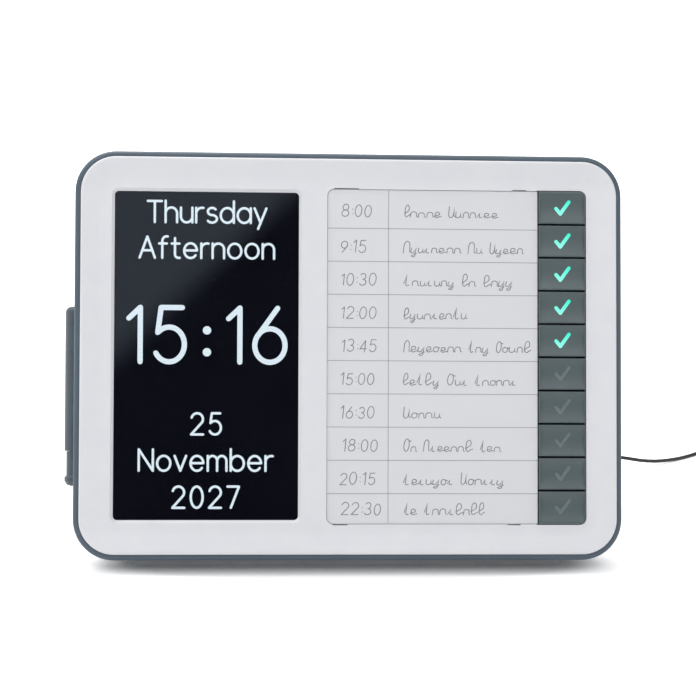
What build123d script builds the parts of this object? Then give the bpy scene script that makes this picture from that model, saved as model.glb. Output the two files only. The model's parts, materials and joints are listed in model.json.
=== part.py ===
from build123d import *
import os
from math import acos, asin, atan2, ceil, cos, degrees, hypot, pi, radians, sin, sqrt, tan

# Day clock with a calendar display, a wipe-clean task board and ten tick keys. Millimetres.
#
# The clock is drawn in its panel frame: X right, Y into the clock, Z up the panel, with the
# origin at the middle of the front face. It is then leaned back about X to stand on its front
# foot and its fold-out leg. In the finished frame +Z is up, the floor is Z = 0, and the origin
# is the middle of the front foot's underside. The supply lead is drawn in the finished frame.

os.makedirs("parts", exist_ok=True)

# ---------------------------------------------------------------- stance
lean_angle = 16.0
rim_floor_gap = 6.8

# ---------------------------------------------------------------- case
case_width = 261.6
case_height = 193.8
case_depth = 27.0
case_corner_radius = 19.5
case_wall = 2.2
rim_width = 2.6
rim_depth = 9.0
rim_front_fillet = 2.2
rim_back_fillet = 2.5
housing_side_inset = 10.4
housing_top_inset = 5.0
housing_bottom_inset = 3.0
housing_corner_radius = 13.0
housing_back_fillet = 4.0

# ---------------------------------------------------------------- front bezel
bezel_gap = 0.15
bezel_lip_height = 1.0
bezel_lip_width = 1.3
bezel_slope_width = 9.0
bezel_slope_blend = 30.0
bezel_lip_fillet = 0.8
bezel_plate = 2.0
bezel_skirt = 2.0
bezel_seat_gap = 0.2
bezel_back_pad = 5.0
bezel_pad_margin = 3.2

# ---------------------------------------------------------------- display
screen_side_border = 18.75
screen_end_border = 19.0
screen_width = 87.4
screen_corner_radius = 2.0
screen_chamfer_width = 1.4
screen_chamfer_depth = 1.6
glass_overlap = 3.2
glass_thickness = 1.2
gasket_thickness = 0.4
gasket_width = 2.6
lcd_overlap = 1.0
lcd_thickness = 1.4
tray_overlap = 3.0
tray_depth = 4.0
tray_wall = 0.8
stack_gap = 0.05
clip_thickness = 1.0
clip_width = 12.0
clip_reach = 4.0
clip_offset = 22.0
clip_top_gap = 2.4
clip_bottom_gap = 3.9
clip_post_radius = 2.6

# ---------------------------------------------------------------- task board
pillar_width = 13.4
board_end_border = 17.1
window_corner_radius = 3.3
board_recess = 0.8
board_thickness = 1.7
board_seat_gap = 0.3
board_edge_gap = 0.2
board_travel = 30.0
notch_depth = 0.5
notch_left_spans = [(3.3, 15.0, 1), (2.9, 10.0, -1)]
notch_right_spans = [(12.2, 5.4, 1), (14.6, 8.3, -1)]
board_overhang = 0.6

# ---------------------------------------------------------------- tick keys
key_count = 10
key_side_border = 17.7
key_width = 22.65
key_gap = 0.8
key_end_extra = 0.55
key_well_gap = 0.3
key_board_edge_gap = 0.5
key_proud = 0.6
key_front_depth = 4.7
key_corner_radius = 3.1
key_small_radius = 0.5
key_edge_fillet = 0.7
key_dish = 0.8
key_travel = 0.8
key_stem_wall = 1.0
key_stem_length = 3.5
key_hook_reach = 0.9
key_hook_gap = 0.15
key_pusher_radius = 1.5
key_pusher_offset = 8.6
switch_gap = 1.0
tick_stroke = 1.65
tick_points = [(-2.85, -0.15), (-0.8, -2.65), (3.35, 3.05)]
lens_gap = 0.05
lens_recess = 0.03
lens_tick_depth = 1.6
lens_block_width = 9.2
lens_block_height = 8.8
frame_thickness = 1.2
frame_margin = 1.8
frame_pocket_gap = 0.25

# ---------------------------------------------------------------- circuit boards
board_material = 1.6
key_board_side_margin = 2.8
key_board_end_margin = 0.9
key_post_radius = 2.2
key_post_gap = 0.5
key_post_edge = 3.1
key_post_end_inset = 10.1
switch_body = 4.5
switch_body_height = 2.0
switch_stem_radius = 1.2
led_size = 2.0
led_height = 0.9
main_board_gap = 7.75
main_board_width = 106.0
main_board_height = 68.0
main_board_bottom_inset = 27.9
main_board_front = 13.0
main_post_radius = 3.0
main_post_inset = 5.0
chip_sizes = [
    # from the main board's left and top edges: across, down, width, height, thickness
    (14, 32, 14, 14, 1.4),
    (14, 52, 10, 12, 1.1),
    (60, 52, 8, 6, 1.5),
    (72, 34, 7, 7, 3.0),
    (60, 10, 9, 9, 1.2),
]
capacitor_places = [(76, 54), (76, 46), (12, 12)]
capacitor_radius = 2.5
capacitor_height = 6.0
ribbon_thickness = 0.2
ribbon_lift = 0.15
ribbon_lap = 6.0
ribbon_flat = 9.0
ribbon_slope = 4.0
ribbon_edge = 3.0
display_ribbon_down = 15.0
display_ribbon_width = 14.0
key_ribbon_down = 26.0
key_ribbon_width = 10.0

# ---------------------------------------------------------------- screws
screw_radius = 1.5
screw_head_radius = 2.6
screw_head_height = 2.0
screw_hole_gap = 0.1
counterbore_gap = 0.25
case_boss_radius = 3.9
case_post_radius = 3.3
case_post_end = 7.7
case_boss_start = 8.0
case_screw_seat = 11.0
case_screw_tip = 3.4
case_screw_side_inset = 16.4
case_screw_top_inset = 4.1
case_screw_bottom_inset = 4.3
inner_screw_radius = 1.0
inner_screw_head_radius = 1.9
inner_screw_head_height = 1.2
inner_screw_length = 5.0

# ---------------------------------------------------------------- setting keys
setting_key_count = 3
setting_key_pitch = 14.0
setting_key_top_inset = 10.0
setting_key_radius = 4.0
setting_key_proud = 1.2
setting_key_hole_gap = 0.2
setting_key_flange = 1.0
setting_key_flange_thickness = 1.2
setting_key_travel = 0.8
setting_switch_height = 5.3

# ---------------------------------------------------------------- sound and cell
speaker_side_inset = 45.4
speaker_bottom_inset = 45.9
speaker_radius = 18.0
speaker_depth = 9.5
speaker_ring_wall = 1.5
speaker_ring_height = 3.8
speaker_slot_count = 7
speaker_slot_pitch = 4.2
speaker_slot_width = 1.6
cell_across = 42.0
cell_down = 20.0
cell_radius = 10.0
cell_thickness = 3.2
cell_holder_floor = 0.8
cell_holder_wall = 1.2

# ---------------------------------------------------------------- supply socket and plug
socket_side_inset = 12.0
socket_bottom_inset = 14.0
socket_size = 9.4
socket_bore_radius = 2.95
socket_pin_radius = 0.95
socket_hole_radius = 3.4
barrel_radius = 2.75
barrel_bore_radius = 1.3
barrel_tip_gap = 1.95
socket_floor = 1.2
plug_radius = 5.0
plug_length = 14.0
plug_fillet = 0.8
relief_length = 20.0
relief_start_radius = 3.2
relief_end_radius = 1.9
plug_case_gap = 0.3

# ---------------------------------------------------------------- keyhole hanger plates
hanger_side_inset = 42.4
hanger_top_inset = 39.9
hanger_width = 20.0
hanger_height = 28.0
hanger_thickness = 1.0
hanger_hole_radius = 4.5
hanger_slot_radius = 2.3
hanger_slot_length = 9.0
hanger_pocket_width = 13.0
hanger_pocket_height = 21.0
hanger_pocket_depth = 5.0
hanger_corner_radius = 2.0
hanger_gap = 0.1

# ---------------------------------------------------------------- pen and holder
pen_reach = 4.8
pen_radius = 5.5
pen_back_gap = 0.4
pen_top = 23.6
pen_shoulder = -45.4
pen_bottom = -62.2
pen_top_fillet = 3.0
pen_section_radius = 3.2
pen_section_length = 7.5
nib_radius = 1.1
nib_length = 3.5
cap_neck_radius = 4.6
cap_neck_length = 11.6
cap_bore_gap = 0.3
cap_shoulder_gap = 0.1
cap_bore_depth = 12.5
clip_ring_wall = 1.2
clip_ring_gap = 0.3
clip_ring_height = 12.0
clip_ring_z = [2.0, -34.0]
clip_opening_angle = 62.0
holder_plate = 1.5
holder_gap = 0.3
holder_margin = 5.0
holder_half_width = 6.0
holder_peg_radius = 2.0
holder_peg_gap = 0.05
holder_peg_length = 5.0

# ---------------------------------------------------------------- fold-out leg
leg_hinge_top_inset = 35.9
leg_hinge_offset = 5.0
leg_knuckle_radius = 4.0
leg_knuckle_half_width = 16.7
leg_top_half_width = 15.2
leg_bottom_half_width = 36.0
leg_foot_bottom_inset = 2.4
leg_foot_radius = 3.2
leg_thickness = 4.5
leg_web = 1.8
leg_rib = 3.0
leg_case_gap = 1.2
leg_corner_radius = 6.0
ear_width = 6.0
ear_gap = 0.3
hinge_pin_radius = 1.5
hinge_bore_gap = 0.05
leg_foot_margin = 4.0
leg_tongue = 1.8
leg_tongue_length = 3.0
leg_tongue_gap = 0.02

# ---------------------------------------------------------------- front foot
foot_side_inset = 18.4
foot_front_inset = 5.0
foot_back_inset = 4.5
foot_fillet = 1.5

# ---------------------------------------------------------------- supply lead
cord_diameter = 2.0
cord_length = 1500.0
coil_center_x = 240.1
coil_center_y = 189.0
coil_columns = 4
coil_layers = 4
coil_turn_radius = 12.0
coil_entry_run = 11.0
coil_entry_straight = 16.0
coil_stub_inset = 0.05
coil_entry_heading = (0.72, 0.694)
coil_exit_run = 19.0
coil_exit_height = 4.0
supply_plug_width = 15.4
supply_plug_height = 7.6
supply_plug_length = 25.0
supply_plug_relief = 6.0
supply_shell_width = 12.0
supply_shell_height = 4.5
supply_shell_length = 12.0
supply_shell_wall = 0.35
supply_tongue_height = 1.9

# ---------------------------------------------------------------- worked-out places
half_width = case_width / 2
half_height = case_height / 2
housing_half_width = half_width - housing_side_inset
housing_top = half_height - housing_top_inset
housing_bottom = -(half_height - housing_bottom_inset)
back_inside = case_depth - case_wall
flange_inside = rim_depth - case_wall
bezel_half_width = half_width - rim_width - bezel_gap
bezel_half_height = half_height - rim_width - bezel_gap
bezel_corner_radius = case_corner_radius - rim_width - bezel_gap

screen_left = -half_width + screen_side_border
screen_height = case_height - 2 * screen_end_border
screen_x = screen_left + screen_width / 2
glass_front = bezel_plate + stack_gap
glass_back = glass_front + glass_thickness
gasket_back = glass_back + gasket_thickness + stack_gap
lcd_front = gasket_back + stack_gap
lcd_back = lcd_front + lcd_thickness
tray_front = lcd_back + stack_gap
tray_back = tray_front + tray_depth
tray_half_height = screen_height / 2 + tray_overlap
clip_front = tray_back + stack_gap

board_floor = board_recess + board_thickness + board_seat_gap
board_window_left = screen_left + screen_width + pillar_width
board_window_half_height = half_height - board_end_border
key_right = half_width - key_side_border
key_left = key_right - key_width
key_pitch = (2 * board_window_half_height + key_gap - 2 * key_end_extra) / key_count
board_right = key_left - key_board_edge_gap
key_x = (key_left + key_right) / 2
key_height = key_pitch - key_gap
well_left = board_right - board_overhang
well_right = key_right + key_well_gap
well_half_height = board_window_half_height + key_well_gap
key_front_y = -key_proud
key_back_y = key_front_y + key_front_depth
key_frame_front = max(bezel_back_pad, key_back_y + key_travel) + stack_gap
key_frame_back = key_frame_front + frame_thickness
key_stem_end = key_back_y + key_stem_length
key_dish_radius = (key_height / 2) ** 2 / (2 * key_dish) + key_dish / 2
stem_half_width = lens_block_width / 2 + lens_gap + key_stem_wall
stem_half_height = lens_block_height / 2 + lens_gap + key_stem_wall
switch_top = key_stem_end + switch_gap
switch_stem_height = 1.0
key_board_front = switch_top + switch_stem_height + switch_body_height
key_board_back = key_board_front + board_material

key_board_half_height = well_half_height + key_board_end_margin
key_board_right = well_right + key_board_side_margin
key_post_x = well_left - frame_margin - key_post_gap - key_post_radius
key_board_left = key_post_x - key_post_edge
key_post_end = well_half_height - key_post_end_inset
key_post_z = [-key_post_end, 0.0, key_post_end]

main_board_back = main_board_front + board_material
main_board_right = key_board_left - main_board_gap
main_board_left = main_board_right - main_board_width
main_board_bottom = housing_bottom + main_board_bottom_inset
main_board_top = main_board_bottom + main_board_height
socket_x = main_board_right - socket_side_inset
socket_z = main_board_bottom + socket_bottom_inset
socket_bore_floor = main_board_back + stack_gap + socket_floor
setting_key_x = socket_x
setting_key_z = [main_board_top - setting_key_top_inset - i * setting_key_pitch
                 for i in range(setting_key_count)]
setting_stem_end = main_board_back + setting_switch_height + switch_gap
cell_x = main_board_left + cell_across
cell_z = main_board_top - cell_down
speaker_x = -housing_half_width + speaker_side_inset
speaker_z = housing_bottom + speaker_bottom_inset

case_screw_end_x = housing_half_width - case_screw_side_inset
case_screw_x = [-case_screw_end_x, 0.0, case_screw_end_x]
case_screw_top_z = housing_top - case_wall - case_screw_top_inset
case_screw_bottom_z = housing_bottom + case_wall + case_screw_bottom_inset
clip_top_z = tray_half_height + clip_post_radius + clip_top_gap
clip_bottom_z = -(tray_half_height + clip_post_radius + clip_bottom_gap)

hanger_x = housing_half_width - hanger_side_inset
hanger_z = housing_top - hanger_top_inset
leg_hinge_z = housing_top - leg_hinge_top_inset
leg_foot_z = housing_bottom + leg_foot_bottom_inset
foot_half_length = housing_half_width - foot_side_inset
foot_front = rim_depth + foot_front_inset
foot_back = case_depth - foot_back_inset
pen_x = -(half_width + pen_reach) + pen_radius
pen_y = rim_depth + pen_back_gap + pen_radius + clip_ring_gap + clip_ring_wall
hinge_y = case_depth + leg_hinge_offset

lean = radians(lean_angle)
panel_height = half_height * cos(lean) + rim_floor_gap
foot_middle = (foot_front + foot_back) / 2


def floor_z(y):
    """Height up the panel at which the floor lies, at a depth y into the clock."""
    return (y * sin(lean) - panel_height) / cos(lean)


foot_shift = -(foot_middle * cos(lean) + floor_z(foot_middle) * sin(lean))
STAND = Pos(0, foot_shift, panel_height) * Rot(-lean_angle, 0, 0)


def stood(x, y, z):
    """A panel point in the finished frame."""
    return (
        x,
        y * cos(lean) + z * sin(lean) + foot_shift,
        panel_height - y * sin(lean) + z * cos(lean),
    )


hinge_height = stood(0, hinge_y, leg_hinge_z)[2]
leg_foot_y = case_depth + leg_case_gap + leg_thickness / 2
leg_reach = hypot(leg_foot_y - hinge_y, leg_foot_z - leg_hinge_z)
leg_splay = acos((hinge_height - leg_foot_radius) / leg_reach)
leg_open_angle = lean_angle + degrees(
    leg_splay - pi / 2 - atan2(leg_foot_z - leg_hinge_z, leg_foot_y - hinge_y)
)


# ---------------------------------------------------------------- shape helpers
def block(x0, x1, y0, y1, z0, z1):
    """A square-edged box between two corners."""
    return Pos((x0 + x1) / 2, (y0 + y1) / 2, (z0 + z1) / 2) * Box(x1 - x0, y1 - y0, z1 - z0)


def on_panel(y):
    """The drawing plane at depth y, with X right and its own Y up the panel."""
    return Plane.XZ.offset(-y)


def slab(x0, x1, z0, z1, y0, y1, radius):
    """A plate parallel to the panel with rounded corners."""
    outline = RectangleRounded(x1 - x0, z1 - z0, radius)
    return extrude(on_panel(y1) * Pos((x0 + x1) / 2, (z0 + z1) / 2) * outline, amount=y1 - y0)


def disc(x, z, y0, y1, radius):
    """A round bar along the panel's depth."""
    return extrude(on_panel(y1) * Pos(x, z) * Circle(radius), amount=y1 - y0)


def bar_x(x0, x1, y, z, radius):
    """A round bar across the panel."""
    return Pos((x0 + x1) / 2, y, z) * Rot(0, 90, 0) * Cylinder(radius, x1 - x0)


def turned(points):
    """A solid turned about Y from (radius, y) points."""
    return revolve(make_face(Polyline(*points, close=True)), Axis.Y, 360)


def funnel(front, back):
    """A solid between two rounded rectangles, each (x0, x1, z0, z1, y, radius)."""
    faces = []
    for x0, x1, z0, z1, y, radius in (back, front):
        outline = RectangleRounded(x1 - x0, z1 - z0, radius)
        faces.append(on_panel(y) * Pos((x0 + x1) / 2, (z0 + z1) / 2) * outline)
    return loft(faces)


def edges_at(solid, y):
    """The edges of a solid that lie in the plane at depth y."""
    return solid.edges().filter_by_position(Axis.Y, y - 0.01, y + 0.01)


def tick_mark(stroke_radius, y0, y1):
    """The tick symbol, about the panel's X and Z axes."""
    mark = Sketch()
    for (xa, za), (xb, zb) in zip(tick_points, tick_points[1:]):
        run = hypot(xb - xa, zb - za)
        turn = degrees(atan2(zb - za, xb - xa))
        mark += Pos((xa + xb) / 2, (za + zb) / 2) * Rot(0, 0, turn) * SlotCenterToCenter(
            run, 2 * stroke_radius
        )
    return extrude(on_panel(y1) * mark, amount=y1 - y0)


def export(node, shape, place=STAND):
    """Writes one node's STEP file, at its place in the finished frame."""
    solids = shape if isinstance(shape, list) else shape.solids()
    placed = [place * solid for solid in solids]
    whole = placed[0] if len(placed) == 1 else Compound(children=placed)
    export_step(whole, f"parts/{node}.step")


# ---------------------------------------------------------------- case
def case_screw_places():
    """Where the case screws go through, as (x, z)."""
    top = [(x, case_screw_top_z) for x in case_screw_x]
    return top + [(x, case_screw_bottom_z) for x in case_screw_x]


def main_post_places():
    """The corners where the main circuit board is screwed down."""
    return [
        (x, z)
        for x in (main_board_left + main_post_inset, main_board_right - main_post_inset)
        for z in (main_board_bottom + main_post_inset, main_board_top - main_post_inset)
    ]


def hinge_ear(side):
    """One ear of the leg's hinge, standing on the back of the case."""
    inner = leg_knuckle_half_width + ear_gap
    x0, x1 = sorted((side * inner, side * (inner + ear_width)))
    round_end = bar_x(x0, x1, hinge_y, leg_hinge_z, leg_knuckle_radius)
    foot = block(x0, x1, back_inside, hinge_y, leg_hinge_z - leg_knuckle_radius,
                 leg_hinge_z + leg_knuckle_radius)
    bore = bar_x(x0 - 1, x1 + 1, hinge_y, leg_hinge_z, hinge_pin_radius + hinge_bore_gap / 2)
    return round_end + foot - bore


def hanger_cup(side):
    """The cup behind a keyhole plate, where a wall screw's head sits."""
    grow = case_wall / 2
    half_w = hanger_width / 2 + grow
    half_h = hanger_height / 2 + grow
    x = side * hanger_x
    floor = case_depth - hanger_thickness - hanger_pocket_depth
    return slab(x - half_w, x + half_w, hanger_z - half_h, hanger_z + half_h,
                floor - case_wall, case_depth - 0.1, hanger_corner_radius)


def hanger_pocket(side):
    """The seat of a keyhole plate and the pocket behind it."""
    x = side * hanger_x
    half_w = hanger_width / 2 + hanger_gap
    half_h = hanger_height / 2 + hanger_gap
    seat = slab(x - half_w, x + half_w, hanger_z - half_h, hanger_z + half_h,
                case_depth - hanger_thickness - hanger_gap, case_depth + 1, hanger_corner_radius)
    floor = case_depth - hanger_thickness - hanger_pocket_depth
    pocket = block(x - hanger_pocket_width / 2, x + hanger_pocket_width / 2, floor,
                   case_depth + 1, hanger_z - hanger_pocket_height / 2,
                   hanger_z + hanger_pocket_height / 2)
    return seat + pocket


def speaker_slots():
    """The sound slots in the back, longest in the middle."""
    slots = []
    middle = (speaker_slot_count - 1) / 2
    for i in range(speaker_slot_count):
        offset = (i - middle) * speaker_slot_pitch
        length = 2 * sqrt((speaker_radius - 3) ** 2 - offset ** 2)
        outline = SlotOverall(length, speaker_slot_width)
        place = on_panel(case_depth + 1) * Pos(speaker_x, speaker_z + offset)
        slots.append(extrude(place * outline, amount=case_wall + 2))
    return slots


def rear_shell():
    """The slate tray: a full-size rim at the front and a smaller housing behind it."""
    rim = slab(-half_width, half_width, -half_height, half_height, 0, rim_depth,
               case_corner_radius)
    rim = fillet(edges_at(rim, 0), rim_front_fillet)
    rim = fillet(edges_at(rim, rim_depth), rim_back_fillet)
    housing = slab(-housing_half_width, housing_half_width, housing_bottom, housing_top,
                   flange_inside, case_depth, housing_corner_radius)
    housing = fillet(edges_at(housing, case_depth), housing_back_fillet)
    seat_w = bezel_half_width + bezel_gap
    seat_h = bezel_half_height + bezel_gap
    rim_room = slab(-seat_w, seat_w, -seat_h, seat_h, -1, flange_inside,
                    bezel_corner_radius + bezel_gap)
    housing_room = slab(-housing_half_width + case_wall, housing_half_width - case_wall,
                        housing_bottom + case_wall, housing_top - case_wall,
                        flange_inside - 1, back_inside, housing_corner_radius - case_wall)
    shell = rim + housing - rim_room - housing_room
    for x, z in case_screw_places():
        shell += disc(x, z, case_boss_start, case_depth - 0.5, case_boss_radius)
    for x, z in main_post_places():
        shell += disc(x, z, main_board_back + stack_gap, case_depth - 0.5, main_post_radius)
    ring = disc(speaker_x, speaker_z, back_inside - speaker_ring_height, case_depth - 0.5,
                speaker_radius + stack_gap * 4 + speaker_ring_wall)
    shell += ring - disc(speaker_x, speaker_z, 0, back_inside,
                         speaker_radius + stack_gap * 4)
    for side in (-1, 1):
        shell += hanger_cup(side)
        shell += hinge_ear(side)
    for side in (-1, 1):
        shell -= hanger_pocket(side)
    for x, z in case_screw_places():
        shell -= disc(x, z, 0, case_depth + 1, screw_radius + screw_hole_gap)
        shell -= disc(x, z, case_screw_seat, case_depth + 1,
                      screw_head_radius + counterbore_gap)
    for x, z in main_post_places():
        shell -= disc(x, z, main_board_back, main_board_back + inner_screw_length,
                      inner_screw_radius + stack_gap)
    for slot in speaker_slots():
        shell -= slot
    for z in setting_key_z:
        shell -= disc(setting_key_x, z, back_inside - 1, case_depth + 1,
                      setting_key_radius + setting_key_hole_gap)
    shell -= disc(socket_x, socket_z, back_inside - 1, case_depth + 1, socket_hole_radius)
    for z in clip_ring_z:
        shell -= bar_x(-housing_half_width - 1, -housing_half_width + case_wall + 1, pen_y,
                       z + clip_ring_height / 2, holder_peg_radius + holder_peg_gap)
    return shell


def front_bezel():
    """The white front: a plate with a raised lip, a screen window, a board tray and a key well."""
    lip_y = -bezel_lip_height
    plate = slab(-bezel_half_width, bezel_half_width, -bezel_half_height, bezel_half_height,
                 lip_y, flange_inside - bezel_seat_gap, bezel_corner_radius)
    plate = fillet(edges_at(plate, lip_y), bezel_lip_fillet)
    inner_w = bezel_half_width - bezel_skirt
    inner_h = bezel_half_height - bezel_skirt
    plate -= slab(-inner_w, inner_w, -inner_h, inner_h, bezel_plate, rim_depth,
                  bezel_corner_radius - bezel_skirt)
    top_w, top_h = bezel_half_width - bezel_lip_width, bezel_half_height - bezel_lip_width
    low_w, low_h = top_w - bezel_slope_width, top_h - bezel_slope_width
    plate -= funnel(
        (-top_w, top_w, -top_h, top_h, lip_y - 0.01, bezel_corner_radius - bezel_lip_width),
        (-low_w, low_w, -low_h, low_h, 0, bezel_corner_radius - bezel_lip_width
         - bezel_slope_width),
    )
    plate = fillet(edges_at(plate, 0), bezel_slope_blend)
    plate += slab(board_window_left - bezel_pad_margin, well_right + bezel_pad_margin,
                  -well_half_height - bezel_pad_margin, well_half_height + bezel_pad_margin,
                  0.5, bezel_back_pad, window_corner_radius)
    for x, z in case_screw_places():
        plate += disc(x, z, 0.5, case_post_end, case_post_radius)
        plate -= disc(x, z, case_screw_tip - 0.4, case_post_end + 1, screw_radius + stack_gap)
    for x, z in clip_places():
        plate += disc(x, z, 0.5, clip_front - stack_gap, clip_post_radius)
        plate -= disc(x, z, clip_front - inner_screw_length + 0.5, clip_front + 1,
                      inner_screw_radius + stack_gap)
    for z in key_post_z:
        plate += disc(key_post_x, z, bezel_back_pad - 1, key_board_front - stack_gap,
                      key_post_radius)
        plate -= disc(key_post_x, z, key_board_front - inner_screw_length + 0.5,
                      key_board_front + 1, inner_screw_radius + stack_gap)
    return plate - screen_opening() - board_opening()


def screen_opening():
    """The screen window with its sloped surround."""
    x0, x1 = screen_left, screen_left + screen_width
    z1 = screen_height / 2
    wide = screen_chamfer_width
    window = slab(x0, x1, -z1, z1, -2, bezel_plate + 1, screen_corner_radius)
    slope = funnel(
        (x0 - wide, x1 + wide, -z1 - wide, z1 + wide, 0, screen_corner_radius + wide),
        (x0, x1, -z1, z1, screen_chamfer_depth, screen_corner_radius),
    )
    return window + slope


def board_opening():
    """The tray for the task board, the key well beside it, and the finger notches."""
    right = well_right
    tray = slab(board_window_left, right, -board_window_half_height,
                board_window_half_height, -2, board_floor, window_corner_radius)
    well = block(well_left, right - window_corner_radius, -2, bezel_back_pad + 1,
                 -well_half_height, well_half_height)
    well += slab(well_left + window_corner_radius, right, -well_half_height,
                 well_half_height, -2, bezel_back_pad + 1, window_corner_radius)
    opening = tray + well
    spans = [(board_window_left + a, board_window_left + b, side)
             for a, b, side in notch_left_spans]
    spans += [(board_right - a, board_right - b, side) for a, b, side in notch_right_spans]
    for x0, x1, side in spans:
        z0, z1 = sorted((side * (board_window_half_height - 1),
                         side * (board_window_half_height + notch_depth)))
        opening += block(x0, x1, -2, board_floor, z0, z1)
    return opening


def case_screws():
    """Six screws from the back, through the shell's bosses into the bezel's posts."""
    screws = []
    for x, z in case_screw_places():
        head = disc(x, z, case_screw_seat, case_screw_seat + screw_head_height,
                    screw_head_radius)
        head -= block(x - 1.8, x + 1.8, case_screw_seat + 1, case_depth, z - 0.4, z + 0.4)
        head -= block(x - 0.4, x + 0.4, case_screw_seat + 1, case_depth, z - 1.8, z + 1.8)
        screws.append(head + disc(x, z, case_screw_tip, case_screw_seat + 0.5, screw_radius))
    return [screw.solids()[0] for screw in screws]


def front_foot():
    """The rubber strip under the case, cut level with the floor."""
    corners = [(foot_front, housing_bottom), (foot_back, housing_bottom),
               (foot_back, floor_z(foot_back)), (foot_front, floor_z(foot_front))]
    side = make_face(Plane.YZ * Polyline(*corners, close=True))
    strip = extrude(side, amount=foot_half_length, both=True)
    uprights = strip.edges().filter_by(Axis.Z).group_by(Axis.X)
    return fillet(uprights[0] + uprights[-1], foot_fillet)


def hanger_plates():
    """Two stamped plates with a keyhole each, for hanging the clock on two screws."""
    plates = []
    for side in (-1, 1):
        x = side * hanger_x
        plate = slab(x - hanger_width / 2, x + hanger_width / 2,
                     hanger_z - hanger_height / 2, hanger_z + hanger_height / 2,
                     case_depth - hanger_thickness, case_depth, hanger_corner_radius)
        hole_z = hanger_z - hanger_slot_length / 2
        plate -= disc(x, hole_z, 0, case_depth + 1, hanger_hole_radius)
        plate -= disc(x, hole_z + hanger_slot_length, 0, case_depth + 1, hanger_slot_radius)
        plate -= block(x - hanger_slot_radius, x + hanger_slot_radius, 0, case_depth + 1,
                       hole_z, hole_z + hanger_slot_length)
        plates.append(plate.solids()[0])
    return plates


# ---------------------------------------------------------------- display
def around_screen(margin, y0, y1, radius):
    """A plate that overlaps the screen window by a margin all round."""
    return slab(screen_left - margin, screen_left + screen_width + margin,
                -screen_height / 2 - margin, screen_height / 2 + margin, y0, y1, radius)


def display_gasket():
    """The foam frame between the cover glass and the panel."""
    outer = around_screen(gasket_width, glass_back + stack_gap, gasket_back, 2)
    return outer - around_screen(0, glass_back - 1, gasket_back + 1, 1)


def backlight_tray():
    """The folded sheet-metal tray that holds the backlight."""
    outer = around_screen(tray_overlap, tray_front, tray_back, 2)
    return outer - around_screen(tray_overlap - tray_wall, tray_front - 1,
                                 tray_back - tray_wall, 1.2)


def clip_places():
    """Where the display clips are screwed to the bezel, as (x, z)."""
    return [
        (screen_x + side * clip_offset, z)
        for side in (-1, 1)
        for z in (clip_top_z, clip_bottom_z)
    ]


def display_clips():
    """Four plates that hold the backlight tray down."""
    clips = []
    for x, z in clip_places():
        side = 1 if z > 0 else -1
        inner = side * (tray_half_height - clip_reach)
        outer = z + side * clip_post_radius
        z0, z1 = sorted((inner, outer))
        clip = block(x - clip_width / 2, x + clip_width / 2, clip_front,
                     clip_front + clip_thickness, z0, z1)
        clip -= disc(x, z, 0, case_depth, inner_screw_radius + stack_gap)
        clips.append(clip.solids()[0])
    return clips


# ---------------------------------------------------------------- task board
def task_board():
    """The wipe-clean plate, a loose fit in its tray."""
    x0, x1 = board_window_left + board_edge_gap, board_right
    half = board_window_half_height - board_edge_gap
    y1 = board_recess + board_thickness
    radius = window_corner_radius - board_edge_gap
    plate = slab(x0, x1, -half, half, board_recess, y1, radius)
    return plate + block(x1 - 2 * radius, x1, board_recess, y1, -half, half)


# ---------------------------------------------------------------- tick keys
def key_z(index):
    """The height of a key's middle; index 0 is the top key."""
    return ((key_count - 1) / 2 - index) * key_pitch


def key_dish_tool(extra):
    """The round bar across a key that hollows its face."""
    radius = key_dish_radius + extra
    axis_y = key_front_y + key_dish - key_dish_radius
    return bar_x(-key_width, key_width, axis_y, 0, radius)


def key_outline(index):
    """A key's outline; the end keys are taller, with the column's rounded corner."""
    if 0 < index < key_count - 1:
        return Rectangle(key_width, key_height)
    end = 1 if index == 0 else -1
    outline = Pos(0, end * key_end_extra / 2) * Rectangle(key_width, key_height + key_end_extra)
    right = outline.vertices().sort_by(Axis.X)[-2:].sort_by(Axis.Y)
    corner = right[-1] if end > 0 else right[0]
    return fillet([corner], key_corner_radius)


def tick_key(index):
    """One key cap with its stem, hooks and pusher; it slides straight into the case."""
    face = on_panel(key_back_y) * key_outline(index)
    cap = extrude(face, amount=key_front_depth)
    cap = fillet(edges_at(cap, key_front_y), key_edge_fillet)
    cap -= key_dish_tool(0) & block(
        -key_width / 2 + key_edge_fillet, key_width / 2 - key_edge_fillet, key_front_y - 5,
        key_back_y, -key_height / 2 + key_edge_fillet, key_height / 2 - key_edge_fillet)
    cap += block(-stem_half_width, stem_half_width, key_back_y, key_stem_end,
                 -stem_half_height, stem_half_height)
    hook_y = key_frame_back + key_hook_gap
    reach = stem_half_width + key_hook_reach
    cap += block(-reach, reach, hook_y, key_stem_end, -stem_half_height / 2,
                 stem_half_height / 2)
    cap += disc(key_pusher_offset, 0, key_back_y, key_stem_end, key_pusher_radius)
    cap -= tick_mark(tick_stroke / 2 + lens_gap, key_front_y - 1, key_back_y)
    cap -= block(-lens_block_width / 2 - lens_gap, lens_block_width / 2 + lens_gap,
                 lens_tick_depth, key_stem_end + 1, -lens_block_height / 2 - lens_gap,
                 lens_block_height / 2 + lens_gap)
    return Pos(key_x, 0, key_z(index)) * cap


def tick_lens(index):
    """The clear light guide of one key, with the tick as its front end."""
    lens = tick_mark(tick_stroke / 2, key_front_y - 1, lens_tick_depth + 1)
    lens += block(-lens_block_width / 2, lens_block_width / 2, lens_tick_depth + lens_gap,
                  key_stem_end, -lens_block_height / 2, lens_block_height / 2)
    lens -= key_dish_tool(lens_recess)
    return Pos(key_x, 0, key_z(index)) * lens


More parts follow.
